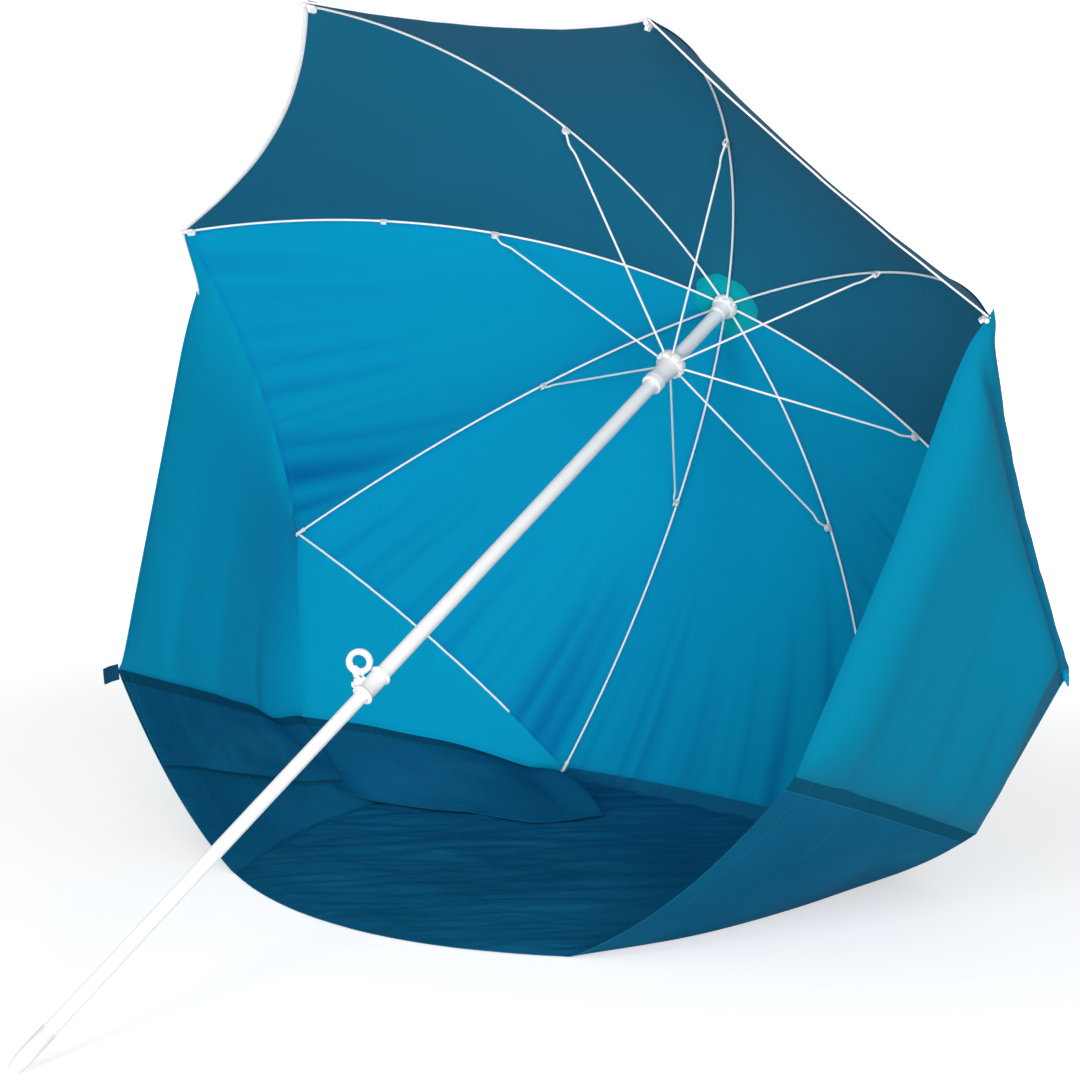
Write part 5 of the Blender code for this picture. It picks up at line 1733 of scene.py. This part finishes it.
@dataclass
class Wires:
    """Ribs and struts of bent wire, with their brackets and end caps."""

    ribs: Ribwork
    wardrobe: Wardrobe
    hook: float = 0.004
    hook_length: float = 0.040
    cap_length: float = 0.022
    bracket_length: float = 0.012
    bracket_cheek: float = 0.0012
    rib_wire: float = 0.0019
    strut_wire: float = 0.00175
    inner_end: float = 0.0165
    tie_share: float = 0.36

    def build_rib(self, number: int) -> None:
        """One smooth rib."""
        start = math.asin(self.inner_end / self.ribs.dome_radius)
        angles = [start + (self.ribs.rim_angle - start) * step / 60 for step in range(61)]
        matrix = self.ribs.rib_frame(number)
        points = [matrix @ self.ribs.arc_point(angle) for angle in angles]
        piece = tube_mesh(f"rib_wire_{number}", points, self.rib_wire)
        self.wardrobe.fit(piece, "white_coat", f"rib_arm_{number}", f"rib_{number}")

    def build_strut(self, number: int) -> None:
        """One strut with the small hook beside its bracket."""
        radius, height = self.ribs.rib_joint()
        turn = Matrix.Rotation(self.ribs.azimuth(number), 4, "Z")
        matrix = self.ribs.pole @ turn @ Matrix.Translation((radius, 0, height))
        inner = Vector((self.ribs.pivot_radius - radius, 0, self.ribs.runner_height() - height))
        hook = Vector((inner.z, 0, -inner.x)).normalized() * self.hook
        share_end = self.hook_length / inner.length
        shares = [share_end * step / 16 for step in range(17)] + [0.3, 0.5, 0.7, 0.85, 1.0]
        points = []
        for share in shares:
            bow = math.sin(math.pi * share / share_end) ** 2 if share < share_end else 0
            points.append(matrix @ (inner * share - hook * bow))
        piece = tube_mesh(f"strut_wire_{number}", points, self.strut_wire)
        self.wardrobe.fit(piece, "white_coat", f"strut_arm_{number}", f"strut_{number}")

    def build_cap(self, number: int) -> None:
        """The rounded cap on a rib's end."""
        tip = self.ribs.tip_direction()
        along = Matrix.Translation(self.ribs.arc_point(self.ribs.rim_angle))
        along = self.ribs.rib_frame(number) @ along @ Matrix.Rotation(math.atan2(tip.x, tip.z), 4, "Y")
        reach, radius = self.ribs.cap_overhang, self.ribs.cap_radius
        end = reach * 0.96
        mouth = reach - self.cap_length
        outline = [
            (radius * 0.66, mouth + 0.0004), (radius * 0.9, mouth), (radius, mouth + 0.0006),
            (radius, mouth + 0.0045), (radius * 0.86, mouth + 0.0055), (radius * 0.86, reach * 0.15),
            (radius, reach * 0.35), (radius, reach * 0.62), (radius * 0.82, reach * 0.84),
            *((radius * share, end + along_end) for share, along_end in self.cap_end(number, radius)),
            (0, end + self.cap_end(number, radius)[-1][1] + 0.0003),
        ]
        piece = turned_mesh(f"rib_cap_{number}", outline, along, 28)
        self.wardrobe.fit(piece, "white_plastic", f"rib_arm_{number}", f"rib_tip_{number}")

    def cap_end(self, number: int, radius: float) -> list[tuple[float, float]]:
        """The cap's last points as (radius share, height); the front ribs' caps run out to a thin peg."""
        if number not in (1, 8):
            return [(0.5, 0.0)]
        peg = {1: 0.009, 8: 0.013}[number]
        return [(0.6, 0.0), (0.45, 0.0006), (0.4, peg - radius * 0.4), (0.28, peg - radius * 0.12)]

    def build_tie(self) -> None:
        """The small moulded clip half-way down the free part of rib 8."""
        joint = self.ribs.row_angle(self.ribs.joint_row + 0.5)
        angle = joint + (self.ribs.rim_angle - joint) * self.tie_share
        matrix = self.ribs.rib_frame(8) @ Matrix.Translation(self.ribs.arc_point(angle))
        matrix = matrix @ Matrix.Rotation(angle, 4, "Y")
        half = [(0.0042, -0.0062), (0.0062, -0.0012), (0.0055, 0.0016)]
        outline = [(-x, z) for x, z in half[::-1]] + half
        piece = soften(plate_mesh("rib_clip_8", outline, 0.0062, matrix), 0.001)
        self.wardrobe.fit(piece, "white_plastic", "rib_arm_8")

    def build_bracket(self, number: int) -> None:
        """The clip that joins a strut to its rib: two cheeks under a rolled back."""
        matrix = self.ribs.rib_frame(number) @ self.ribs.joint_frame()
        half = self.bracket_length / 2
        inner = self.ribs.strut_radius + 0.0004
        foot = -self.ribs.bracket_drop
        turns = [math.pi * step / 14 for step in range(15)]
        outline = [(half * 0.98 * math.cos(turn), foot - half * 0.5 * math.sin(turn)) for turn in turns]
        outline += [(-half, -0.001), (-half * 0.8, 0.0005), (half * 0.8, 0.0005), (half, -0.001)]
        shape = bmesh.new()
        for side in (-1, 1):
            low, high = inner * side, (inner + self.bracket_cheek) * side
            loops = [[shape.verts.new(matrix @ Vector((x, y, z))) for x, z in outline] for y in (low, high)]
            for step in range(len(outline)):
                after = (step + 1) % len(outline)
                shape.faces.new((loops[0][step], loops[0][after], loops[1][after], loops[1][step]))
            shape.faces.new(loops[0])
            shape.faces.new(loops[1][::-1])
        piece = soften(close_mesh(f"strut_clip_{number}", shape), 0.0004, 2)
        self.wardrobe.fit(piece, "white_plastic", f"rib_arm_{number}", f"rib_bracket_{number}")
        across = matrix @ Matrix.Translation((0, 0, foot)) @ Matrix.Rotation(math.pi / 2, 4, "X")
        reach = inner + self.bracket_cheek + 0.0006
        end = [(0, reach), (0.0016, reach), (0.0021, reach - 0.0005), (0.0021, inner + self.bracket_cheek)]
        profile = [(radius, -height) for radius, height in end] + end[::-1]
        rivet = turned_mesh(f"clip_rivet_{number}", profile, across, 20)
        self.wardrobe.fit(rivet, "white_plastic", f"rib_arm_{number}")
        saddle = tube_mesh(
            f"clip_saddle_{number}",
            [matrix @ Vector((half * (2 * step / 6 - 1), 0, 0)) for step in range(7)],
            self.ribs.wire_radius + 0.0004,
        )
        self.wardrobe.fit(saddle, "white_plastic", f"rib_arm_{number}")

    def build(self) -> None:
        """Build all eight arms."""
        for number in range(1, self.ribs.count + 1):
            self.build_rib(number)
            self.build_strut(number)
            self.build_cap(number)
            self.build_bracket(number)
        self.build_tie()


@dataclass
class Fittings:
    """Hub, runner, top cap, clamp with its lever, spike and peg loop."""

    ribs: Ribwork
    wardrobe: Wardrobe
    crown_radius: float = 0.0242
    slot_floor: float = 0.0185
    slot_round: float = 0.0009
    barrel_radius: float = 0.0150
    shoulder_radius: float = 0.0175
    collar_radius: float = 0.0168
    tube_radius: float = 0.0115
    runner_top: float = 0.007
    crown_depth: float = 0.008
    barrel_length: float = 0.038
    collar_length: float = 0.016
    hub_top: float = 0.0024
    hub_depth: float = 0.011
    hub_length: float = 0.030
    hub_crown: float = 0.0212
    hub_barrel: float = 0.0148
    cap_rise: float = 0.0077
    cap_radius: float = 0.021
    cap_height: float = 0.012
    clamp_drop: float = 0.608
    clamp_length: float = 0.047
    waist_radius: float = 0.0135
    flange_radius: float = 0.0160
    clamp_azimuth: float = math.radians(225)
    lever_pivot: tuple[float, float] = (0.0195, -0.0065)
    ring_size: tuple[float, float] = (0.038, 0.044)
    hole_size: tuple[float, float] = (0.0205, 0.0225)
    ring_rise: float = 0.0165
    lever_thickness: float = 0.006

    def notch(self, half_width: float, low: float, high: float) -> Callable[[float, float, float], float]:
        """Cut one slot for each rib into the crown between two heights.

        Args:
            half_width: half a slot's width.
            low: the slots' lower end.
            high: the slots' upper end.

        Returns:
            A function for turned_mesh.
        """

        def radius_at(radius: float, height: float, turn: float) -> float:
            """The radius with its slots cut."""
            if not low < height < high or radius <= self.slot_floor:
                return radius
            half_sector = self.ribs.sector / 2
            offset = (turn - self.ribs.azimuth(1) + half_sector) % self.ribs.sector - half_sector
            away = abs(offset) * radius
            open_share = ease(away, half_width, half_width + self.slot_round)
            return self.slot_floor + (radius - self.slot_floor) * open_share

        return radius_at

    def build_runner(self) -> None:
        """The runner: a notched, rounded crown, a barrel and a seamed collar."""
        matrix = self.ribs.pole @ Matrix.Translation((0, 0, self.ribs.runner_height()))
        bore = self.tube_radius + 0.0003
        neck = -self.crown_depth - self.barrel_length
        foot = neck - self.collar_length
        crown = self.crown_radius
        outline = [
            (bore, self.runner_top - 0.0008), (bore + 0.0008, self.runner_top),
            (crown - 0.0050, self.runner_top), (crown - 0.0026, self.runner_top - 0.0010),
            (crown - 0.0008, self.runner_top - 0.0030), (crown, self.runner_top - 0.0055),
            (crown, 0.0010 - self.crown_depth), (crown - 0.0004, 0.0003 - self.crown_depth),
            (crown - 0.0014, -self.crown_depth), (self.shoulder_radius + 0.0016, -self.crown_depth),
            (self.shoulder_radius + 0.0003, -self.crown_depth - 0.0008),
            (self.shoulder_radius, -self.crown_depth - 0.0022),
            (self.barrel_radius + 0.0004, -self.crown_depth - self.barrel_length * 0.55),
            (self.barrel_radius, neck + 0.0015), (self.barrel_radius + 0.0002, neck + 0.0004),
            (self.collar_radius - 0.0006, neck), (self.collar_radius, neck - 0.0007),
            (self.collar_radius, neck - 0.0062), (self.collar_radius - 0.0005, neck - 0.0067),
            (self.collar_radius - 0.0005, neck - 0.0073), (self.collar_radius, neck - 0.0078),
            (self.collar_radius, foot + 0.0012), (self.collar_radius - 0.0005, foot + 0.0003),
            (self.collar_radius - 0.0012, foot), (bore, foot), (bore, self.runner_top - 0.0008),
        ]
        low, high = -self.crown_depth - 0.0001, self.runner_top + 0.0001
        slots = self.notch(self.ribs.strut_radius + 0.0003, low, high)
        piece = turned_mesh("runner_body", outline, matrix, 192, slots)
        self.wardrobe.fit(piece, "white_plastic", "runner", "runner")

    def build_hub(self) -> None:
        """The hub with its slotted crown, and the cap that clamps the canopy on it."""
        matrix = self.ribs.pole @ Matrix.Translation((0, 0, self.ribs.pivot_height))
        bore = self.tube_radius + 0.0003
        crown = self.hub_crown
        deep = self.hub_depth
        outline = [
            (0, self.hub_top), (self.slot_floor - 0.002, self.hub_top), (crown - 0.0026, self.hub_top),
            (crown - 0.0010, self.hub_top - 0.0006), (crown, self.hub_top - 0.0024),
            (crown, 0.0050 - deep), (crown - 0.0006, 0.0030 - deep), (crown - 0.0020, 0.0012 - deep),
            (crown - 0.0042, 0.0002 - deep), (self.hub_barrel + 0.0006, -deep),
            (self.hub_barrel, -deep - 0.0008), (self.hub_barrel - 0.0004, 0.0060 - self.hub_length),
            (self.hub_barrel - 0.0012, 0.0014 - self.hub_length),
            (self.hub_barrel - 0.0026, -self.hub_length), (bore, -self.hub_length),
            (bore, 0.002 - self.hub_length),
        ]
        slots = self.notch(self.ribs.wire_radius + 0.0003, -self.hub_depth - 0.0001, self.hub_top + 0.0001)
        piece = turned_mesh("hub_body", outline, matrix, 192, slots)
        self.wardrobe.fit(piece, "white_plastic", ROOT, "hub")
        base, top = self.cap_rise, self.cap_rise + self.cap_height
        profile = [(0, top)]
        for step in range(1, 13):
            turn = math.pi / 2 * step / 12
            height = base + 0.0016 + (top - base - 0.0016) * math.cos(turn)
            profile.append((self.cap_radius * math.sin(turn), height))
        profile += [(self.cap_radius, base + 0.0008), (self.cap_radius - 0.0008, base), (0.0085, base)]
        profile += [(0.0085, self.hub_top + 0.0003), (0, self.hub_top + 0.0003)]
        cap = turned_mesh("canopy_cap", profile, matrix, 72)
        self.wardrobe.fit(cap, "white_plastic", ROOT, "top_cap")

    def build_clamp(self) -> None:
        """The sleeve at the tubes' joint, its ears, and the looped lever on its pin."""
        centre = self.ribs.rim_height - self.clamp_drop
        turn = Matrix.Rotation(self.clamp_azimuth, 4, "Z")
        matrix = self.ribs.pole @ Matrix.Translation((0, 0, centre)) @ turn
        half = self.clamp_length / 2
        flange, waist = self.flange_radius, self.waist_radius
        bore = self.tube_radius + 0.0003
        outline = [
            (bore, half - 0.0004), (bore + 0.0008, half), (flange - 0.0008, half),
            (flange, half - 0.0008), (flange, half - 0.0022), (flange - 0.0006, half - 0.0032),
            (waist + 0.0006, half - 0.0042), (waist, half - 0.0056), (waist, 0.0056 - half),
            (waist + 0.0006, 0.0042 - half), (flange - 0.0006, 0.0032 - half), (flange, 0.0022 - half),
            (flange, 0.0008 - half), (flange - 0.0008, -half), (0.0103, -half), (0.0103, -0.012),
            (bore, -0.012), (bore, half - 0.0004),
        ]
        sleeve = turned_mesh("clamp_body", outline, matrix, 180, self.lever_gap)
        self.wardrobe.fit(sleeve, "white_plastic", ROOT, "clamp_sleeve")
        reach, drop = self.lever_pivot
        inner = self.lever_thickness / 2 + 0.0003
        for word, side in (("left", 1), ("right", -1)):
            steps = [math.pi * step / 12 - math.pi / 2 for step in range(13)]
            ear = [(0.0118, drop + 0.0064)]
            ear += [(reach + 0.0050 * math.cos(angle), drop - 0.0050 * math.sin(angle)) for angle in steps]
            ear += [(reach + 0.0045, drop - 0.0085), (waist + 0.0066, 0.0034 - half)]
            ear += [(0.0118, 0.0034 - half)]
            where = matrix @ Matrix.Translation((0, side * (inner + 0.00125), 0))
            cheek = soften(plate_mesh(f"clamp_ear_{word}", ear, 0.0025, where), 0.0005)
            self.wardrobe.fit(cheek, "white_plastic", ROOT)
        across = matrix @ Matrix.Translation((reach, 0, drop)) @ Matrix.Rotation(-math.pi / 2, 4, "X")
        span = inner + 0.0028
        profile = [(0, -span - 0.001), (0.0018, -span - 0.001), (0.0026, -span - 0.0004), (0.0026, -span)]
        profile += [(0.0015, -span), (0.0015, span), (0.0026, span), (0.0026, span + 0.0004)]
        profile += [(0.0018, span + 0.001), (0, span + 0.001)]
        pin = turned_mesh("lever_pin", profile, across, 32)
        self.wardrobe.fit(pin, "pin_steel", ROOT, "clamp_pin")
        self.build_lever(matrix)

    def lever_gap(self, radius: float, height: float, turn: float) -> float:
        """The sleeve's radius, its lower flange cut away where the lever swings past."""
        away = abs(radius * math.sin(turn))
        if radius <= self.waist_radius or height > 0 or math.cos(turn) < 0:
            return radius
        half = self.lever_thickness / 2
        return self.waist_radius + (radius - self.waist_radius) * ease(away, half + 0.0003, half + 0.0009)

    def build_lever(self, matrix: Matrix) -> None:
        """The lever: an oval ring with a round section that thickens into its cam."""
        reach, drop = self.lever_pivot
        centre = Vector((self.flange_radius + 0.0004 + self.ring_size[0] / 2, 0, self.ring_rise))
        shape = bmesh.new()
        turns, sides = 72, 20
        rings = []
        for step in range(turns):
            turn = math.tau * step / turns
            x, z = math.cos(turn) / 2, math.sin(turn) / 2
            sizes = (self.ring_size, self.hole_size)
            outer, inner = (Vector((width * x, 0, height * z)) for width, height in sizes)
            middle, arm = (outer + inner) / 2, (outer - inner) / 2
            ring = []
            for face in range(sides):
                angle = math.tau * face / sides
                x, y = sharpen(math.cos(angle), 0.75), sharpen(math.sin(angle), 0.75)
                point = centre + middle + arm * x + Vector((0, self.lever_thickness / 2 * y, 0))
                ring.append(shape.verts.new(matrix @ point))
            rings.append(ring)
        for first, second in zip(rings, rings[1:] + rings[:1]):
            bridge(shape, first, second)
        ring_piece = close_mesh("lever_ring", shape)
        self.wardrobe.fit(ring_piece, "white_plastic", "clamp_lever", "clamp_lever")
        steps = [math.tau * step / 32 for step in range(32)]
        cam = [(reach + 0.0045 * math.cos(angle), drop + 0.0045 * math.sin(angle)) for angle in steps]
        arm = [(reach - 0.0042, drop + 0.001), (reach + 0.0042, drop - 0.0025)]
        arm += [(reach + 0.0190, drop + 0.0060)]
        arm += [(reach + 0.0160, drop + 0.0130), (reach - 0.0010, drop + 0.0130)]
        for name, outline in (("lever_cam", cam), ("lever_arm", arm)):
            boss = soften(plate_mesh(name, outline, self.lever_thickness, matrix), 0.0006)
            self.wardrobe.fit(boss, "white_plastic", "clamp_lever", "clamp_lever")

    def build_spike(self) -> None:
        """The moulded spike with a soft shoulder and point."""
        length, radius = self.ribs.spike_length, self.ribs.spike_radius
        socket = 0.0103
        outline = [
            (socket, length - 0.03), (socket, length - 0.0003), (radius - 0.0006, length),
            (radius, length - 0.0006), (radius, length - 0.004), (radius - 0.0003, length - 0.0046),
            (radius - 0.0003, length - 0.0054), (radius, length - 0.006), (radius, length * 0.45),
            (radius * 0.985, length * 0.36), (radius * 0.9, length * 0.28),
            (radius * 0.78, length * 0.185), (radius * 0.62, length * 0.1),
            (radius * 0.4, length * 0.052), (0.0026, 0.0028), (0.0014, 0.0014), (0, 0.001),
        ]
        piece = turned_mesh("spike_body", outline, self.ribs.pole, 64)
        self.wardrobe.fit(piece, "white_plastic", "lower_pole", "ground_spike")

    def dress_tubes(self) -> None:
        """Powder coat on the two tubes, which keep their own form."""
        for name in ("upper_tube", "lower_tube"):
            self.wardrobe.dress(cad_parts[name], "white_coat")

    def build_loop(self, corner: Vector) -> Piece:
        """The webbing loop at the left front corner, folded back on itself and sewn in on edge.

        Args:
            corner: the wall's front corner.

        Returns:
            The loop.
        """
        half, gap = 0.0125, 0.0022
        middle = corner + Vector((-half - 0.0035, 0.0, -0.0085))
        steps = [math.tau * step / 40 for step in range(41)]
        centres, widths, normals = [], [], []
        for turn in steps:
            x, y = sharpen(math.cos(turn), 0.6) * half, sharpen(math.sin(turn), 1.1) * gap
            drop = 0.36 * x - 0.0018 * ease(-x, 0.0, half)
            centres.append(middle + Vector((x, y + 0.25 * x, drop)))
            widths.append(Vector((-0.12, 0, 1)))
            normals.append(Vector((math.cos(turn), math.sin(turn) * 2.2, 0)))
        piece = ribbon_mesh("corner_loop", centres, widths, normals, (0.025, 0.0015))
        self.wardrobe.dress(piece, "navy_webbing")
        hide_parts("peg_loop")
        return piece

    def build(self) -> None:
        """Build every fitting of the pole."""
        self.build_runner()
        self.build_hub()
        self.build_clamp()
        self.build_spike()
        self.dress_tubes()


@dataclass(frozen=True)
class Lamp:
    """A soft square lamp that looks at the tent: name, place, side and watts."""

    name: str
    place: tuple[float, float, float]
    size: float
    power: float
    target: tuple[float, float, float] = (0.0, 0.2, 0.5)

    def build(self) -> None:
        """Hang the lamp."""
        data = bpy.data.lights.new(self.name, "AREA")
        data.shape = "SQUARE"
        data.size = self.size
        data.energy = self.power
        lamp = put_in_scene(self.name, data)
        lamp.location = self.place
        aim = Vector(self.target) - Vector(self.place)
        lamp.rotation_euler = aim.to_track_quat("-Z", "Y").to_euler()


@dataclass(frozen=True)
class Studio:
    """Pale floor, soft light and the camera."""

    camera_place: tuple[float, float, float] = (2.81619, -3.53162, 1.48832)
    camera_turn: tuple[float, float, float] = (78.4574, -1.1999, 36.8827)
    lens: float = 107.43
    sensor: float = 36.0
    world_light: float = 0.38
    floor_colour: Colour = (0.78, 0.78, 0.78)
    floor_glow: float = 0.5
    far_glow: float = 0.6
    glow_reach: tuple[float, float] = (1.1, 3.2)
    floor_rings: tuple[float, ...] = (4.0, 9.0, 20.0)
    floor_sides: int = 48
    floor_depth: float = 0.0005
    lamps: tuple[Lamp, ...] = (
        Lamp("right_lamp", (4.0, -3.8, 1.1), 2.4, 240),
        Lamp("left_lamp", (0.5, -5.5, 1.3), 1.8, 92),
        Lamp("upper_lamp", (0.6, -3.6, 3.4), 1.2, 34),
    )

    def build_camera(self) -> None:
        """The camera at the photograph's angle."""
        data = bpy.data.cameras.new("camera")
        data.lens = self.lens
        data.sensor_width = self.sensor
        data.sensor_fit = "HORIZONTAL"
        data.clip_end = 60
        camera = put_in_scene("camera", data)
        camera.location = self.camera_place
        camera.rotation_euler = [math.radians(turn) for turn in self.camera_turn]
        bpy.context.scene.camera = camera

    def build_world(self) -> None:
        """White to the camera and to reflections, soft light to the object."""
        world = bpy.data.worlds.new("studio")
        world.use_nodes = True
        bpy.context.scene.world = world
        graph = Graph(world.node_tree)
        path = graph.add("ShaderNodeLightPath")
        seen = graph.math("MAXIMUM", path.outputs["Is Camera Ray"], path.outputs["Is Glossy Ray"])
        seen = graph.math("MAXIMUM", seen, path.outputs["Is Transmission Ray"])
        strength = graph.math("MULTIPLY_ADD", seen, 1.0 - self.world_light, self.world_light)
        background = world.node_tree.nodes["Background"]
        background.inputs["Color"].default_value = (1, 1, 1, 1)
        graph.put(background.inputs["Strength"], strength)

    def build_floor(self) -> None:
        """A wide pale floor that keeps the tent's shadow."""
        shape = bmesh.new()
        middle = shape.verts.new((0, 0, -self.floor_depth))
        turns = [math.tau * step / self.floor_sides for step in range(self.floor_sides)]
        ways = [(math.cos(turn), math.sin(turn)) for turn in turns]
        rings = [
            [shape.verts.new((radius * x, radius * y, -self.floor_depth)) for x, y in ways]
            for radius in self.floor_rings
        ]
        for corners in zip(rings[0], rings[0][1:] + rings[0][:1]):
            shape.faces.new((middle, *corners))
        for first, second in zip(rings, rings[1:]):
            bridge(shape, second, first)
        floor = close_mesh("studio_floor", shape)
        finish, graph, shader = start_material("studio_floor")
        shader.inputs["Base Color"].default_value = (*self.floor_colour, 1)
        shader.inputs["Roughness"].default_value = 0.9
        shader.inputs["Specular IOR Level"].default_value = 0.1
        path = graph.add("ShaderNodeLightPath")
        seen = graph.math("MAXIMUM", path.outputs["Is Camera Ray"], path.outputs["Is Glossy Ray"])
        place = graph.add("ShaderNodeTexCoord").outputs["Object"]
        away = graph.add("ShaderNodeVectorMath", {"operation": "LENGTH"})
        graph.put(away.inputs[0], place)
        far = graph.band(away.outputs["Value"], *self.glow_reach)
        edge = graph.math("MULTIPLY_ADD", far, self.far_glow, self.floor_glow)
        glow = graph.math("MULTIPLY", seen, edge)
        shader.inputs["Emission Color"].default_value = (1, 1, 1, 1)
        graph.put(shader.inputs["Emission Strength"], glow)
        floor.data.materials.append(finish)

    def build(self) -> None:
        """Build the studio."""
        bpy.context.scene.view_settings.view_transform = "Standard"
        self.build_camera()
        self.build_world()
        self.build_floor()
        for lamp in self.lamps:
            lamp.build()


def main() -> None:
    """Build the tent's looks in order."""
    logging.basicConfig(level=logging.INFO, format="%(name)s %(message)s")
    wardrobe = Wardrobe()
    ribs = Ribwork()
    canopy = Canopy(ribs, wardrobe)
    canopy.build()
    LOG.info("canopy built")
    skirt = Skirt(ribs, canopy, wardrobe)
    skirt.build()
    LOG.info("walls and floor built")
    Wires(ribs, wardrobe).build()
    LOG.info("wires built")
    fittings = Fittings(ribs, wardrobe)
    fittings.build()
    skirt.fold_away(fittings.build_loop(skirt.front_corner(Side.LEFT)))
    LOG.info("fittings built")
    Studio().build()


if __name__ == "__main__":
    main()
